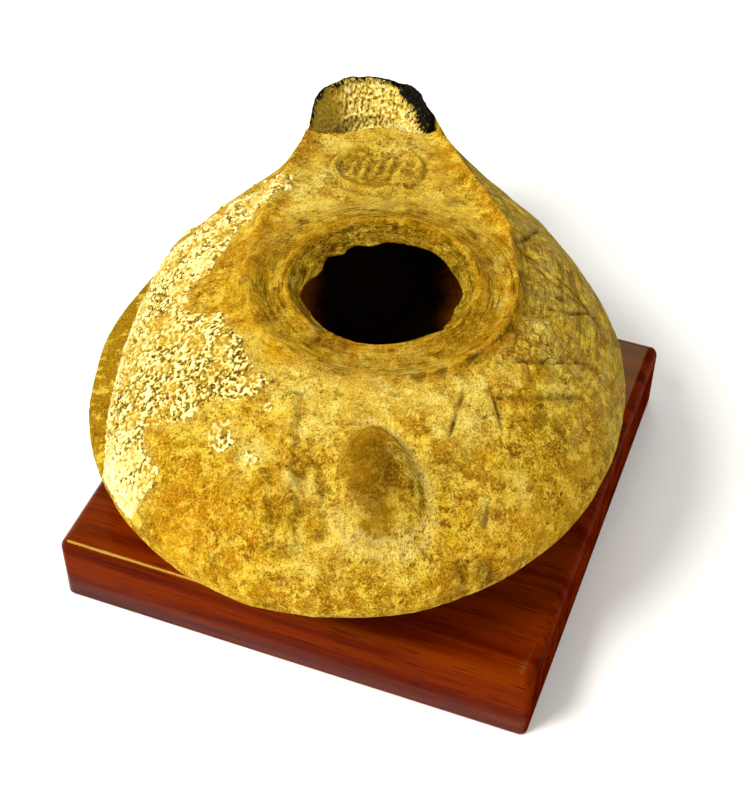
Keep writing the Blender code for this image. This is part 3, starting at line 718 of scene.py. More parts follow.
def spot(x, y, place_x, place_y, radius):
    return bump(np.hypot(x - place_x, y - place_y), radius)


def inside_mask(points):
    """1 on the walls of the hollow, 0 on what faces out."""
    x, y = plan(points)
    below = plain_height(x, y) - points[:, 2]
    theta = np.arctan2(y, x)
    outline = level_radius(theta, outline_field, 0.0)
    foot, seam = lower_edges(theta, outline)
    share = np.clip((np.hypot(x, y) - foot) / (outline - foot), 0.0, 1.0)
    above = points[:, 2] - lower_height(share, seam)
    deep = ramp((below - HOLE_EDGE_DROP - 0.0006) / 0.0010)
    within = ramp((-outline_field(x, y) - 0.5 * SIDE_WALL) / 0.0008)
    return deep * within * ramp((above - 0.0018) / 0.0008)


def crust_share(x, y):
    """Above 0 where the lime crust lies, in metres from its edge."""
    share = inside_share(x, y, CRUST_EDGE)
    for place_x, place_y, radius in CRUST_ISLANDS:
        share = np.maximum(share, radius - np.hypot(x - place_x, y - place_y))
    return share


def uneven(points):
    """The hand-made surface's slow waves, which the crust on it follows."""
    return 0.00028 * rough(points, 0.012, 2) + 0.00006 * rough(points, 0.0030, 3, 1.0)


def lamp_relief(points, normals):
    """How far each point of the lamp's surface stands out, from the potter's hand, wear and pits."""
    x, y = plan(points)
    inside = inside_mask(points)
    relief = uneven(points)
    relief += 0.00006 * rough(points, 0.0010, 3, 2.0)
    up = ramp((normals[:, 2] - 0.1) / 0.3)
    near = grains(points, 0.0013, 3.0)[0]
    pitted = ramp((x - 0.012) / 0.012) * ramp((-0.014 - y) / 0.010) * up
    relief -= 0.00028 * bump(near, 0.24) * (0.08 * up + 0.92 * pitted) * (1.0 - inside)
    first, second = grains(points, 0.0030, 5.0)
    lumps = spot(x, y, 0.0215, -0.0105, 0.0060)
    relief += 0.0005 * lumps * (ramp((second - first) / 0.25) - 0.7)
    for *place, depth in DENTS:
        relief -= depth * spot(x, y, *place)
    return relief * (1.0 - 0.7 * inside)


def wick_cutter():
    theta = np.linspace(-math.pi, math.pi, 180, endpoint=False)
    centre = (NOZZLE_TIP_X, 0.5 * (WICK_BACK_Y + NOZZLE_TIP_Y + NOZZLE_TIP_RADIUS) - 0.001)
    top = TOP_HEIGHT - CHANNEL_FALL
    rows = []
    for height, lean in WICK_PROFILE:
        radius = level_radius(theta, lambda x, y: wick_field(x, y, WICK_LIP + lean), 0.0, centre)
        radius = radius + 0.00025 * rough(ring_row(theta, 0.007, height), 0.0025, 3, 14.0)
        rows.append(ring_row(theta, radius, top + height) + np.array((centre[0], centre[1], 0.0)))
    return add_object("wick_cutter", grid_mesh("wick_cutter", rows))


def rework(mesh, change):
    """Runs a change on the mesh's editable form."""
    work = bmesh.new()
    work.from_mesh(mesh)
    change(work)
    work.to_mesh(mesh)
    work.free()
    mesh.update()


def outward(mesh):
    """Turns every face outward."""
    rework(mesh, lambda work: bmesh.ops.recalc_face_normals(work, faces=work.faces))


def lamp_mesh():
    theta = column_angles()
    outline, edge = plan_edges(theta)
    outside = upper_rows(theta, edge) + seam_rows(theta, edge, outline) + under_rows(theta, outline)
    rows = outside[::-1] + hollow_rows(theta, edge, outline)
    mesh = grid_mesh("lamp_clay", rows)
    outward(mesh)
    points = read_points(mesh)
    normals = read_normals(mesh)
    points = points + normals * lamp_relief(points, normals)[:, None]
    write_points(mesh, points)
    cutter = wick_cutter()
    outward(cutter.data)
    whole = add_object("whole", mesh)
    modifier = whole.modifiers.new("wick_hole", 'BOOLEAN')
    modifier.operation = 'DIFFERENCE'
    modifier.solver = 'EXACT'
    modifier.object = cutter
    cut = bpy.data.meshes.new_from_object(whole.evaluated_get(bpy.context.evaluated_depsgraph_get()))
    bpy.data.objects.remove(whole, do_unlink=True)
    bpy.data.objects.remove(cutter, do_unlink=True)
    cut.name = "lamp_clay"
    return cut


def keep_in_box(points, node):
    low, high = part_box(node)
    return np.clip(points, np.array(low), np.array(high))


class Places:
    """The places of the lamp's points, with what its masks are worked out from."""

    def __init__(self, points):
        self.points = points
        self.z = points[:, 2]
        self.x, self.y = plan(points)
        self.out = np.hypot(self.x, self.y)
        self.theta = np.arctan2(self.y, self.x)
        self.crest = plateau_field(self.x, self.y)
        self.to_edge = edge_distance(self.x, self.y, self.theta)
        self.top = ramp((self.z - plain_height(self.x, self.y) + 0.0016) / 0.0008)
        self.inside = inside_mask(points)
        self.wander = rough(points, 0.006, 3, 4.0)
        self.fine = rough(points, 0.0020, 3, 6.0)


def ring_masks(s):
    """Crests, grooves and slopes of the rings and the channel."""
    worn = (1.0 - 0.85 * ramp((s.y - 0.030) / 0.012)) * (1.0 - 0.5 * ramp(-s.x / 0.010))
    groove = bump(s.out - 0.5 * (RIM_RADIUS + RING_RADIUS), 0.0014) * ramp(-s.crest / 0.001)
    slope = 0.7 * ramp((RIM_RADIUS - 0.0006 - s.out) / 0.0008) * (s.out < RIM_RADIUS)
    return {
        "ridge": bump(s.crest, 0.0016) * worn + 0.8 * bump(s.out - RIM_RADIUS - 0.0002, 0.0009),
        "groove": np.maximum(groove, slope),
        "channel": ramp((-s.crest - 0.0022) / 0.0015) * ramp((s.out - 0.0172) / 0.0015),
        "collar": ramp((RIM_RADIUS - 0.0004 - s.out) / 0.0006) * ramp((s.out - 0.0095) / 0.001),
        "ring_zone": ramp((RING_RADIUS + 0.003 - s.out) / 0.003),
    }


def shoulder_masks(s):
    """The grey right shoulder with its cracks, and the lime that has soaked in round the crust."""
    side = ramp((angle_between(s.theta, math.radians(-48.0)) + 0.25 * s.wander) / 0.70)
    side = side * ramp(angle_between(math.radians(100.0), s.theta) / 0.4)
    cracked = spot(s.x, s.y, 0.0235, -0.0100, 0.0085) + 0.7 * spot(s.x, s.y, 0.0250, 0.0060, 0.0070)
    crust = crust_share(s.x, s.y) + 0.0012 * s.wander
    return {
        "grey": ramp((s.crest - 0.0006) / 0.0010) * side,
        "cracked": np.clip(cracked, 0.0, 1.0) * ramp((s.crest - 0.0008) / 0.0008),
        "lime": ramp((crust + 0.0012) / 0.0022) * ramp(s.to_edge / 0.0006),
    }


def knob_masks(s):
    """The knob's dark core, its streaked flank, the pale lines round it, and a dark line of painted shade
    low on its right side.
    """
    rise = knob_relief(s.x, s.y)
    across = (s.x - KNOB_X + 0.0010 - KNOB_LEAN * (s.y - KNOB_Y)) / 0.0041
    core = np.hypot(across, (s.y - KNOB_Y + 0.0006) / 0.0084)
    halo = bump(rise + 0.0006, 0.0004) * ramp((s.y + 0.0420) / 0.0040) * ramp((s.x + 0.0060) / 0.0050)
    return {
        "knob": ramp((1.22 - core + 0.30 * s.wander) / 0.80),
        "crown": ramp((s.y + 0.0335) / 0.0035),
        # Painted shade: a dark line low on the knob's right side.
        "crease": bump(rise - 0.0007, 0.0005) * ramp((s.x - 0.0005) / 0.0020),
        "flank": bump(rise - 0.0002, 0.0018) * ramp((core - 0.75) / 0.3),
        "bloom": halo * (0.75 + 0.7 * s.fine),
        "arcs": knob_arcs(s.y, rise),
    }


def seal_masks(s):
    """The medallion in the channel, and the hollows in it."""
    across = (s.x - MEDALLION_X) / MEDALLION_HALF_WIDTH
    seal = np.hypot(across, (s.y - MEDALLION_Y) / MEDALLION_HALF_LENGTH)
    low = ramp((0.00012 - medallion_relief(s.x, s.y)) / 0.00030)
    return {"seal": ramp((1.12 - seal) / 0.15), "seal_low": low * ramp((1.25 - seal) / 0.15)}


def wash_masks(s):
    ragged = 0.9 * rough(s.points, 0.0030, 4, 20.0)
    torn = 0.9 * rough(s.points, 0.0030, 4, 24.0)
    return {
        "cream": wash(s.x, s.y, CREAM, ragged, torn),
        "olive": wash(s.x, s.y, OLIVE, torn, ragged),
        "rust": wash(s.x, s.y, RUST, ragged, -torn),
    }


def stain_and_shade_mask(s):
    """Dark stains, darkening along the cut lines and beside the ribs, and a dark line outside the right
    ridge that is partly painted shadow under its edge and partly chipped wear.
    """
    stain_and_shade = wash(s.x, s.y, STAINS, 0.6 * s.fine, 0.6 * s.wander)
    for corners in CUTS:
        stain_and_shade = np.maximum(stain_and_shade, (0.62 + 0.6 * s.fine) * bump(path_distance(s.x, s.y, corners), 0.00034))
    for corners in RIBS:
        beside = bump(path_distance(s.x, s.y, corners) - 0.0011, 0.00040)
        stain_and_shade = np.maximum(stain_and_shade, (0.16 + 0.6 * s.fine) * beside)
    # A broken dark line just outside the right ridge's crest: painted shadow under its edge, with chipped
    # wear.
    worn = bump(s.crest - 0.0007, 0.0004) * ramp(s.x / 0.004) * ramp((s.fine + s.wander - 0.10) / 0.25)
    return np.maximum(stain_and_shade, 0.75 * worn)


def soot_mask(s):
    """Burning round the nozzle's rim, heavier on the right, with a lick down its side."""
    tip = np.hypot(s.x - NOZZLE_TIP_X, s.y - NOZZLE_TIP_Y)
    rim = ramp((tip - NOZZLE_TIP_RADIUS + 0.0030) / 0.0022) * ramp((s.y - 0.0440) / 0.0060)
    right = ramp((s.x + 0.0005) / 0.0060)
    soot = rim * (1.0 + 0.4 * right + 0.45 * s.fine + 0.35 * s.wander)
    soot = soot * ramp((s.z - top_level(s.y) + 0.0026 + 0.0022 * right) / 0.0022)
    lick = spot(s.x, s.y, 0.0040, 0.0570, 0.0036) * (1.0 + 0.8 * s.fine)
    return np.clip(np.maximum(soot, lick), 0.0, 1.0)


def write_lamp_masks(mesh, points):
    s = Places(points)
    for group in (ring_masks, shoulder_masks, knob_masks, seal_masks, wash_masks):
        for name, values in group(s).items():
            write_mask(mesh, name, np.clip(values, 0.0, 1.0) * s.top)
    # Stains and darker lines, with painted shadow outside the right ridge.
    write_mask(mesh, "stain_and_shade", stain_and_shade_mask(s) * s.top)
    write_mask(mesh, "soot", soot_mask(s))
    # The hollow's walls, painted near black as painted shade, and its side walls, lightened as painted
    # light.
    write_mask(mesh, "inside", s.inside)
    write_mask(mesh, "side_wall_painted_light", ramp((np.abs(s.x) - 0.0100) / 0.0050) * s.inside)
    # The steep strip under the left shoulder's edge, which the clay paints darker as painted shade.
    ledge = ramp((0.0004 - s.to_edge) / 0.0006) * ramp(ledge_share(s.theta) / 0.2)
    write_mask(mesh, "ledge", ledge * ramp((s.z - EDGE_HEIGHT + 0.0040) / 0.0020))
    pitted = ramp((s.x - 0.010) / 0.014) * ramp((-0.012 - s.y) / 0.012)
    write_mask(mesh, "pitted", pitted * ramp((s.z - EDGE_HEIGHT + 0.004) / 0.004))
    write_way(mesh, "ring_way", (0.016 * np.sin(s.theta), 0.016 * np.cos(s.theta), 8.0 * s.out))
    past = 6.0 * s.crest + 0.9 * s.z
    write_way(mesh, "crest_way", (0.02 * np.sin(s.theta), 0.02 * np.cos(s.theta), past))


def linear(red, green, blue):
    """Linear colour of an sRGB one given from 0 to 255."""
    shares = (red / 255.0, green / 255.0, blue / 255.0)
    return tuple(s / 12.92 if s <= 0.04045 else ((s + 0.055) / 1.055) ** 2.4 for s in shares)


class Shade:
    """Short calls for building one material's nodes."""

    def __init__(self, name, roughness, **values):
        self.material = bpy.data.materials.new(name)
        self.material.use_nodes = True
        self.tree = self.material.node_tree
        self.shader = self.tree.nodes["Principled BSDF"]
        self.shader.inputs["Roughness"].default_value = roughness
        for socket, value in values.items():
            self.shader.inputs[socket.replace("_", " ")].default_value = value
        self.place = self.node('ShaderNodeTexCoord').outputs["Object"]
        self.patterns = {}

    def node(self, kind, inputs=None, **settings):
        """A new node with its settings, and with its inputs by name or number."""
        made = self.tree.nodes.new(kind)
        for name, value in settings.items():
            setattr(made, name, value)
        for socket, value in (inputs or {}).items():
            self.put(made.inputs[socket], value)
        return made

    def put(self, socket, value):
        """Sets a socket to a colour from 0 to 255, or to what amount() makes of the value."""
        if socket.type == 'RGBA' and isinstance(value, tuple):
            socket.default_value = (*linear(*value), 1.0)
            return
        value = self.amount(value)
        if isinstance(value, bpy.types.NodeSocket):
            self.tree.links.new(value, socket)
        else:
            socket.default_value = value

    def amount(self, item):
        """A pattern or a mask by its name, the band that a tuple gives the values of, or the item itself."""
        if isinstance(item, tuple):
            return self.band(*item)
        if isinstance(item, str):
            return self.patterns[item] if item in self.patterns else self.mask(item)
        return item

    def mask(self, name):
        return self.node('ShaderNodeAttribute', attribute_name=name).outputs["Fac"]

    def way(self, name):
        return self.node('ShaderNodeAttribute', attribute_name=name).outputs["Vector"]

    def noise(self, size, detail=4.0, roughness=0.55, place=None, distortion=0.0):
        """Noise between 0 and 1 with features of about the given size in metres."""
        inputs = {"Vector": self.place if place is None else place, "Scale": 1.0 / size, "Detail": detail,
                  "Roughness": roughness, "Distortion": distortion}
        return self.node('ShaderNodeTexNoise', inputs).outputs["Fac"]

    def crack_lines(self, size):
        """Distance to the edges between cells that noise has pushed about."""
        bent = self.node('ShaderNodeTexNoise', {"Vector": self.place, "Scale": 2.0 / size}).outputs["Color"]
        mixed = {0: CRACK_BEND, 4: self.place, 5: bent}
        shifted = self.node('ShaderNodeMix', mixed, data_type='VECTOR').outputs[1]
        cells = {"Vector": shifted, "Scale": 1.0 / size}
        return self.node('ShaderNodeTexVoronoi', cells, feature='DISTANCE_TO_EDGE').outputs["Distance"]

    def band(self, value, low, high, start=0.0, end=1.0):
        """Goes smoothly from start to end while the value goes from low to high."""
        inputs = dict(enumerate((value, low, high, start, end)))
        return self.node('ShaderNodeMapRange', inputs, interpolation_type='SMOOTHSTEP').outputs[0]

    def math(self, operation, a, b=0.0):
        return self.node('ShaderNodeMath', {0: a, 1: b}, operation=operation).outputs[0]

    def times(self, a, b):
        return self.math('MULTIPLY', a, b)

    def mix(self, amount, a, b):
        return self.node('ShaderNodeMix', {0: amount, 6: a, 7: b}, data_type='RGBA').outputs[2]

    def about_half(self, value, amount):
        """Keeps a value's swing about 0.5 where the amount is 1, and flattens it where that is 0."""
        return self.math('ADD', self.times(self.math('SUBTRACT', value, 0.5), amount), 0.5)

    def ragged(self, value, grain, swing):
        """Pushes a value up and down by a noise."""
        return self.math('ADD', value, self.times(self.math('SUBTRACT', grain, 0.5), swing))

    def product(self, *amounts):
        return functools.reduce(self.times, amounts)

    def paint(self, colour, *amounts):
        """Lays a colour over what is there, by the product of the amounts."""
        self.colour = self.mix(self.product(*amounts), self.colour, colour)

    def stretch(self, factors):
        made = self.node('ShaderNodeMapping', {"Vector": self.place}, vector_type='POINT')
        made.inputs["Scale"].default_value = factors
        return made.outputs["Vector"]

    def finish(self, roughness, layers):
        """layers are (height, depth in metres) pairs, joined into one bump."""
        self.put(self.shader.inputs["Base Color"], self.colour)
        self.put(self.shader.inputs["Roughness"], roughness)
        normal = None
        for height, depth in layers:
            inputs = {"Distance": depth, "Height": height}
            if normal is not None:
                inputs["Normal"] = normal
            normal = self.node('ShaderNodeBump', inputs).outputs["Normal"]
        self.put(self.shader.inputs["Normal"], normal)
        return self.material


def less(name, least):
    """The amount that is 1 away from a mask and the given least where the mask is full."""
    return (name, 0.0, 1.0, 1.0, least)


CRACK_BEND = 0.0022
CRACK_CELL = 0.0042
# Noises in the clay: size of their features in metres, detail and roughness.
CLAY_NOISES = {
    "broad": (0.012, 3.0), "calm_field": (0.0085, 3.0), "patches": (0.0048, 5.0, 0.62),
    "pit_field": (0.0034, 3.0), "dirt": (0.0030, 6.0, 0.68), "flecks": (0.0024, 6.0, 0.70),
    "speckle": (0.0013, 5.0, 0.72), "pit_grain": (0.0009, 3.0, 0.65), "dust": (0.00042, 3.0, 0.7),
    "grit": (0.00023, 2.0, 0.6),
}
# Layers of colour on the clay, from the ground up: the colour or its name, and the amounts whose
# product it is laid on by. An amount is a number, a mask, or a band cut from a noise.
CLAY_LAYERS = (
    ((160, 124, 12), ("tint", 0.50, 0.66), 0.45),
    ((146, 112, 8), "olive", 0.85),
    ((206, 134, 0), "rust", 0.90),
    ((224, 176, 56), "channel", ("patches", 0.30, 0.60, 0.5, 1.0)),
    ((255, 220, 84), "cream", 0.95),
    ((182, 154, 66), "grey", ("patches", 0.64, 0.38, 0.5, 0.95)),
    ((226, 182, 40), "seal", 0.6),
    ((146, 110, 6), "seal_low", 0.8),
    ((208, 172, 56), "flank", ("brush", 0.40, 0.60, 0.1, 0.8)),
    ((170, 128, 6), "groove", ("patches", 0.30, 0.62, 0.9, 0.4)),
    ((212, 148, 4), "ridge", ("patches", 0.34, 0.60, 0.4, 0.95)),
    ((162, 124, 8), "collar", 0.75),
    # Painted shade on the steep strip under the left shoulder.
    ((160, 120, 6), "ledge", 0.85),
    ((222, 192, 84), "lime", ("speckle", 0.36, 0.56, 0.25, 0.9)),
    ((255, 210, 62), ("patches", 0.52, 0.72, 0.0, 0.75)),
    ((152, 88, 0), ("patches", 0.47, 0.28, 0.0, 0.75)),
    ((142, 84, 0), ("dirt", 0.46, 0.38, 0.0, 0.75), less("rust", 0.35), less("cream", 0.35)),
    ("bright", ("flecks", 0.52, 0.59, 0.0, 0.80), less("rust", 0.6), less("ring_zone", 0.5)),
    ("core", "knob", 0.94),
    # Painted shade low on the knob's right side.
    ((122, 90, 4), "crease", 0.45),
    ((238, 212, 120), "bloom", 0.85),
    ((246, 218, 124), "arcs", 0.60),
    ("bright", ("speckle", 0.50, 0.70, 0.0, 0.90), "calm"),
    ((106, 60, 0), ("speckle", 0.48, 0.32, 0.0, 0.88), "calm"),
    ("bright", ("dust", 0.50, 0.66, 0.0, 0.65), "calm"),
    ((90, 56, 0), ("dust", 0.48, 0.32, 0.0, 0.70), "calm"),
    ("bright", ("grit", 0.52, 0.70, 0.0, 0.40), less("knob", 0.3)),
    ((92, 54, 0), ("grit", 0.48, 0.30, 0.0, 0.50), less("knob", 0.3)),
    ((92, 62, 0), ("layers", 0.48, 0.34), "ring_zone", 0.75),
    ((236, 194, 66), ("layers", 0.54, 0.68), "ring_zone", 0.65),
    ((60, 40, 0), ("thin_line", 0.030, 0.008), "collar", 0.85),
    ((96, 74, 8), ("streaks", 0.48, 0.36), "grey", 0.55),
    ((216, 190, 110), ("streaks", 0.54, 0.68), "grey", 0.6),
    ((60, 40, 2), ("pit_grain", 0.40, 0.33), ("pit_field", 0.40, 0.54), ("pitted", 0.0, 1.0, 0.10, 0.85)),
    ((60, 44, 0), ("cracks", 0.035, 0.012), "cracked", ("patches", 0.40, 0.56), 0.8),
    # Dark stains and lines, with painted shadow outside the right ridge.
    ((70, 34, 0), "stain_and_shade"),
    ((7, 5, 2), ("burning", 0.36, 0.62)),
    # Painted shade inside the hollow, with painted light on its side walls.
    ("hollow", "inside"),
)


def clay_material():
    s = Shade("fired_clay", 0.8, Specular_IOR_Level=0.05, Specular_Tint=(1.0, 0.82, 0.2, 1.0))
    s.patterns = {name: s.noise(*values) for name, values in CLAY_NOISES.items()}
    thin = s.noise(0.0026, 3.0, 0.6, s.way("ring_way"))
    core = s.mix(("patches", 0.4, 0.6), (100, 62, 0), (134, 90, 0))
    # Painted light on the hollow's side walls.
    lit = s.times("side_wall_painted_light", ("patches", 0.40, 0.62, 0.5, 1.0))
    s.patterns.update({
        "tint": s.noise(0.0070, 4.0, 0.6, distortion=0.6),
        "brush": s.noise(0.0009, 3.0, 0.6, s.stretch((1.0, 0.14, 0.4))),
        "layers": s.noise(0.0045, 4.0, 0.7, s.way("ring_way")),
        "streaks": s.noise(0.0045, 4.0, 0.7, s.way("crest_way")),
        "thin_line": s.math('ABSOLUTE', s.math('SUBTRACT', thin, 0.5)),
        "cracks": s.crack_lines(CRACK_CELL),
        "burning": s.ragged("soot", "speckle", 1.2),
        "calm": s.product(("calm_field", 0.40, 0.60, 0.55, 1.0), less("knob", 0.25), less("ring_zone", 0.55),
                          less("ledge", 0.3), less("grey", 0.65), less("rust", 0.55)),
        "bright": s.mix("cream", (255, 216, 74), (255, 238, 134)),
        "core": s.mix(s.times("crown", 0.8), core, (134, 78, 0)),
        # Near black painted shade inside the hollow, turning to painted light on its side walls.
        "hollow": s.mix(lit, (20, 6, 0), (255, 140, 10)),
    })
    s.colour = s.mix(("broad", 0.38, 0.62), (186, 126, 2), (218, 164, 16))
    for layer in CLAY_LAYERS:
        s.paint(*layer)
    heights = (("patches", 0.0004), ("speckle", 0.0008), ("dust", 0.00045), ("grit", 0.00025),
               (s.about_half("layers", "ring_zone"), 0.0011), (s.about_half("streaks", "grey"), 0.0009),
               (s.about_half("brush", "flank"), 0.0007))
    return s.finish(("speckle", 0.3, 0.7, 0.92, 0.72), heights)


def lime_material():
    s = Shade("lime_crust", 0.85, Specular_IOR_Level=0.3)
    s.patterns = {"speckle": s.noise(0.00045, 3.0, 0.65), "patches": s.noise(0.0036, 4.0, 0.6)}
    rise = s.ragged("rise", "speckle", 2.1)
    # Darker in the gaps between the grains and paler on their tops: partly the crust's own colour, partly
    # painted shade in the gaps and painted highlight on the tops.
    s.colour = s.mix((rise, 0.08, 0.42), (86, 58, 0), (208, 174, 46))
    s.paint((255, 244, 172), (rise, 0.40, 0.72))
    s.paint((206, 162, 30), ("patches", 0.54, 0.42), 0.60)
    s.paint((250, 240, 168), "white", ("speckle", 0.34, 0.56, 0.2, 0.9))
    return s.finish(("speckle", 0.3, 0.7, 0.9, 0.7), (("speckle", 0.0004),))


def deposit_material():
    s = Shade("burnt_deposit", 0.6, Specular_IOR_Level=0.12)
    s.patterns = {"speckle": s.noise(0.0006, 3.0, 0.65), "patches": s.noise(0.0030, 3.0)}
    rise = s.ragged("rise", "speckle", 1.0)
    soot = s.ragged(s.ragged("soot", "speckle", 1.6), "patches", 0.8)
    # Darker between the crystals and near white on their tops: partly the deposit's own colour, partly
    # painted shade between them and painted highlight on the tops.
    s.colour = s.mix((rise, 0.05, 0.42), (148, 112, 16), (222, 188, 70))
    s.paint((255, 240, 158), (rise, 0.45, 0.85))
    s.paint((196, 162, 42), "smooth", 0.9)
    s.paint((8, 6, 2), (soot, 0.35, 0.75))
    return s.finish(("speckle", 0.3, 0.7, 0.75, 0.35), (("speckle", 0.0004),))


def wood_material():
    s = Shade("lacquered_wood", 0.12, Specular_IOR_Level=0.3, Specular_Tint=(1.0, 0.80, 0.12, 1.0))
    s.put(s.shader.inputs["Specular IOR Level"], s.times("gloss", 0.22))
    along_grain = s.way("grain_way")
    broad = s.noise(0.0040, 4.0, 0.6, along_grain, 0.4)
    lines = s.noise(0.0006, 3.0, 0.6, along_grain)
    pores = s.noise(0.00030, 2.0, 0.5, along_grain)
    s.colour = s.mix((broad, 0.38, 0.62), (78, 12, 0), (110, 34, 0))
    s.paint((74, 10, 0), (lines, 0.50, 0.66), 0.45)
    s.paint((44, 4, 0), (pores, 0.60, 0.70), 0.7)
    return s.finish((lines, 0.3, 0.7, 0.08, 0.16), ((lines, 0.00002),))


def make_lamp():
    mesh = lamp_mesh()
    points = read_points(mesh)
    write_lamp_masks(mesh, points)
    write_points(mesh, keep_in_box(points + LAMP_PLACE, "lamp_body"))
    lamp = add_piece("lamp_clay", mesh, clay_material())
    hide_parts("lamp_body")
    return lamp


def lime_rows():
    theta = np.linspace(CRUST_START, CRUST_END, CRUST_COLUMNS)
    edge = plan_edges(theta)[1]
    inner = np.maximum(0.42 * edge, edge - CRUST_REACH)
    rows = []
    for share in np.linspace(0.0, 0.992, CRUST_ROWS):
        rows.append(surface_row(theta, inner + share * (edge - inner), upper_surface))
    return rows


def make_lime_crust():
    """A sheet that rises out of the clay where the crust lies, and has holes between its grains."""
    mesh = grid_mesh("lime_crust", lime_rows(), closed=False)
    points = read_points(mesh)
    normals = read_normals(mesh)
    if normals[:, 2].mean() < 0.0:
        mesh.flip_normals()
        mesh.update()
        normals = read_normals(mesh)
    x, y = plan(points)
    wander = rough(points, 0.0035, 4, 8.0)
    share = crust_share(x, y) + 0.0013 * wander
    white = np.clip(sum(strength * spot(x, y, *place) for *place, strength in CRUST_WHITES), 0.0, 1.0)
    coarse = grains(points, CRUST_CLUMP, 9.0)[0]
    first = grains(points * np.array((1.0, 0.8, 1.0)), CRUST_GRAIN, 19.0)[0]
    knots = 1.0 - 0.6 * np.clip(first / 0.70, 0.0, 1.0) ** 1.3 - 0.4 * np.clip(coarse / 0.7, 0.0, 1.0)
    body = ramp(share / 0.0010)
    gaps = rough(points, CRUST_GAP, 4, 10.0)
    rise = 0.40 * knots + 1.25 * gaps + 0.25 * wander + 0.22
    rise = rise + white * (0.80 - rise) * 0.72
    thickness = -0.00035 + body * (0.00044 + 0.00040 * np.clip(rise, -0.6, 1.0))
    points = points + normals * (uneven(points) + thickness)[:, None]
    write_mask(mesh, "rise", np.clip(rise, 0.0, 1.0))
    write_mask(mesh, "white", white * ramp((gaps + 0.45) / 0.6))
    write_points(mesh, keep_in_box(points + LAMP_PLACE, "lamp_body"))
    drop_points(mesh, thickness < -0.00025)
    add_piece("lime_crust", mesh, lime_material())


def drop_points(mesh, unwanted):
    """Removes the points that stay under the clay."""
    def change(work):
        work.verts.ensure_lookup_table()
        doomed = [work.verts[number] for number in np.flatnonzero(unwanted)]
        bmesh.ops.delete(work, geom=doomed, context='VERTS')
    rework(mesh, change)


def make_wick_deposit(lamp):
    """Streaky crystals on the inside of the nozzle's far wall, laid on the clay by rays from within."""
    eye = Vector(LAMP_PLACE + np.array(DEPOSIT_EYE))
    around = np.radians(np.linspace(*DEPOSIT_TURNS, DEPOSIT_COLUMNS))
    lift = np.radians(np.linspace(*DEPOSIT_LIFTS, DEPOSIT_ROWS))
    rows = []
    for up in lift:
        row = []
        for turn in around:
            aim = Vector((math.cos(turn) * math.cos(up), math.sin(turn) * math.cos(up), math.sin(up)))
            hit, place, _, _ = lamp.ray_cast(eye, aim)
            row.append(place if hit and (place - eye).length < DEPOSIT_REACH else eye)
        rows.append(np.array(row))
    mesh = grid_mesh("wick_deposit", rows, closed=False)
    points = read_points(mesh)
    centre = np.array(eye)
    away = np.linalg.norm(points - centre, axis=1)
    lost = away < 1e-6
    inward = (centre - points) / np.maximum(away, 1e-6)[:, None]
    local = points - LAMP_PLACE
    x, y = plan(local)
    below_rim = top_level(y) + 0.0010 - local[:, 2]
    tall = local * np.array((1.0, 1.0, 0.5))
    first = grains(tall, DEPOSIT_GRAIN, 2.0)[0]
    gaps = rough(tall, DEPOSIT_GAP, 4, 3.0)
    rise = 0.5 * (1.0 - np.clip(first / 0.75, 0.0, 1.0)) + 0.9 * gaps + 0.36
    covered = ramp((below_rim - 0.0003) / 0.0010) * ramp((y - 0.0470) / 0.0030)
    thickness = -0.0003 + covered * (0.0004 + 0.00045 * np.clip(rise, -0.5, 1.0))
    write_mask(mesh, "rise", np.clip(rise, 0.0, 1.0))
    write_mask(mesh, "smooth", ramp((-0.0058 - x) / 0.0030))
    right = ramp((x - 0.0005) / 0.0050)
    soot = ramp((0.0026 + 0.0030 * right - below_rim + 0.0016 * gaps) / 0.0028)
    write_mask(mesh, "soot", np.clip(soot, 0.0, 1.0))
    write_points(mesh, keep_in_box(points + inward * thickness[:, None], "lamp_body"))
    drop_points(mesh, lost | (thickness < -0.0002))
    add_piece("wick_deposit", mesh, deposit_material())


def square_row(inset, height):
    half = 0.5 * BASE_SIDE - inset
    radius = max(BASE_UPRIGHT_RADIUS - inset, BASE_LEAST_RADIUS)
    points = []
    for corner in range(4):
        middle = 0.5 * math.pi * corner + 0.25 * math.pi
        centre = math.sqrt(2.0) * (half - radius)
        for step in range(BASE_CORNER_STEPS + 1):
            angle = 0.5 * math.pi * (corner + step / BASE_CORNER_STEPS)
            x = centre * math.cos(middle) + radius * math.cos(angle)
            y = centre * math.sin(middle) + radius * math.sin(angle)
            points.append((x, y, height))
    return np.array(points)


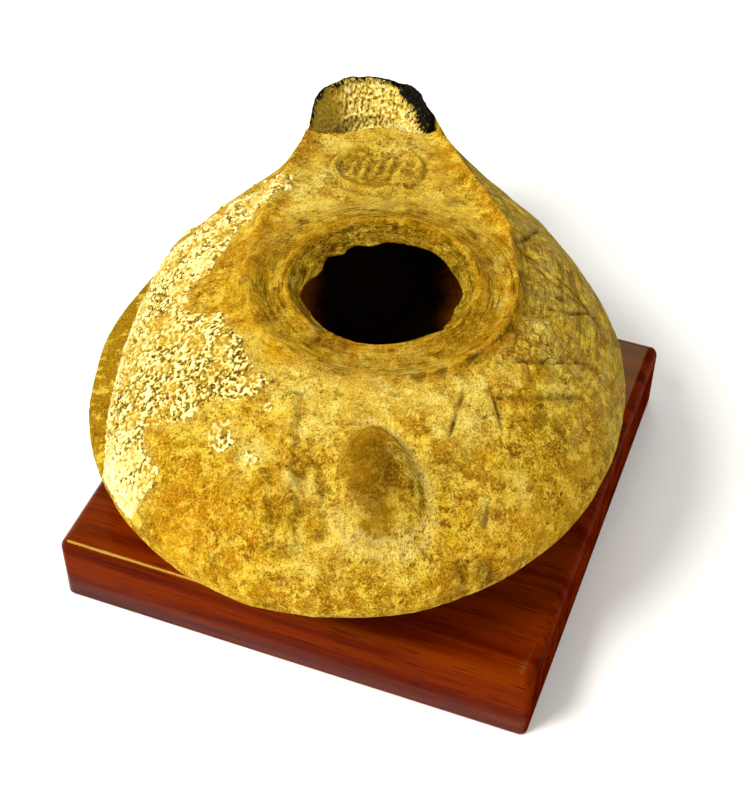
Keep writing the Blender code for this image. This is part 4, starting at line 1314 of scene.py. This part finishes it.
def make_base():
    low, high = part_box("wooden_base")
    height = high.z - low.z
    rows = [
        square_row(BASE_BOTTOM_RADIUS + 0.02, 0.0), square_row(BASE_BOTTOM_RADIUS, 0.0),
        square_row(0.0, BASE_BOTTOM_RADIUS), square_row(0.0, 0.5 * height),
    ]
    for step in range(BASE_ROUND_STEPS + 1):
        angle = 0.5 * math.pi * step / BASE_ROUND_STEPS
        inset = BASE_TOP_RADIUS * (1.0 - math.cos(angle))
        rows.append(square_row(inset, height - BASE_TOP_RADIUS * (1.0 - math.sin(angle))))
    rows.append(square_row(BASE_TOP_RADIUS + 0.004, height))
    mesh = grid_mesh("display_base", rows)
    outward(mesh)
    points = read_points(mesh)
    write_way(mesh, "grain_way", (0.05 * points[:, 0], points[:, 1], points[:, 2]))
    mesh.transform(Matrix.Rotation(BASE_TURN, 4, 'Z'))
    points = read_points(mesh)
    points[:, 2] += low.z
    write_points(mesh, points)
    normals = read_normals(mesh)
    front = ramp((normals[:, 0] * math.sin(BASE_TURN) - normals[:, 1] * math.cos(BASE_TURN) - 0.6) / 0.3)
    right = ramp((normals[:, 0] * math.cos(BASE_TURN) + normals[:, 1] * math.sin(BASE_TURN) - 0.03) / 0.15)
    upward = ramp((normals[:, 2] - 0.1) / 0.6) * (1.0 - 0.95 * right)
    write_mask(mesh, "gloss", np.maximum(upward, 0.06 * front))
    base = add_piece("display_base", mesh, wood_material())
    mesh.set_sharp_from_angle(angle=math.radians(50.0))
    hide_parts("wooden_base")


def make_camera():
    data = bpy.data.cameras.new("camera")
    data.lens = CAMERA_LENS
    data.sensor_width = CAMERA_SENSOR
    data.sensor_fit = 'AUTO'
    data.clip_start = 0.01
    camera = add_object("camera", data)
    tilt = Matrix.Rotation(CAMERA_TILT, 4, 'X')
    roll = Matrix.Rotation(CAMERA_ROLL, 4, 'Z')
    camera.matrix_world = Matrix.Translation(CAMERA_PLACE) @ tilt @ roll
    bpy.context.scene.camera = camera


def add_softbox(name, place, size, power, colour):
    """A round area light that faces the lamp."""
    data = bpy.data.lights.new(name, 'AREA')
    data.shape = 'DISK'
    data.size = size
    data.energy = power
    data.color = colour
    light = add_object(name, data)
    light.location = place
    light.rotation_euler = (Vector(LIT_POINT) - Vector(place)).to_track_quat('-Z', 'Y').to_euler()


def make_studio():
    floor_mesh = bpy.data.meshes.new("floor")
    corners = [(FLOOR_HALF * x, FLOOR_HALF * y, 0.0) for x, y in ((-1, -1), (1, -1), (1, 1), (-1, 1))]
    floor_mesh.from_pydata(corners, [], [(0, 1, 2, 3)])
    floor = add_object("floor", floor_mesh)
    floor.location = (0.0, 0.0, cad_box[0].z - FLOOR_GAP)
    paper = Shade("white_paper", 0.9, Specular_IOR_Level=0.1, Base_Color=PAPER_COLOUR)
    floor_mesh.materials.append(paper.material)
    world = bpy.data.worlds.new("studio")
    world.use_nodes = True
    background = world.node_tree.nodes["Background"]
    background.inputs["Color"].default_value = SKY_COLOUR
    background.inputs["Strength"].default_value = SKY_STRENGTH
    bpy.context.scene.world = world
    for name, values in SOFTBOXES.items():
        add_softbox(name, *values)
    bpy.context.scene.view_settings.view_transform = 'Standard'
    bpy.context.scene.view_settings.look = 'None'


make_camera()
make_studio()
make_base()
lamp_piece = make_lamp()
make_lime_crust()
make_wick_deposit(lamp_piece)
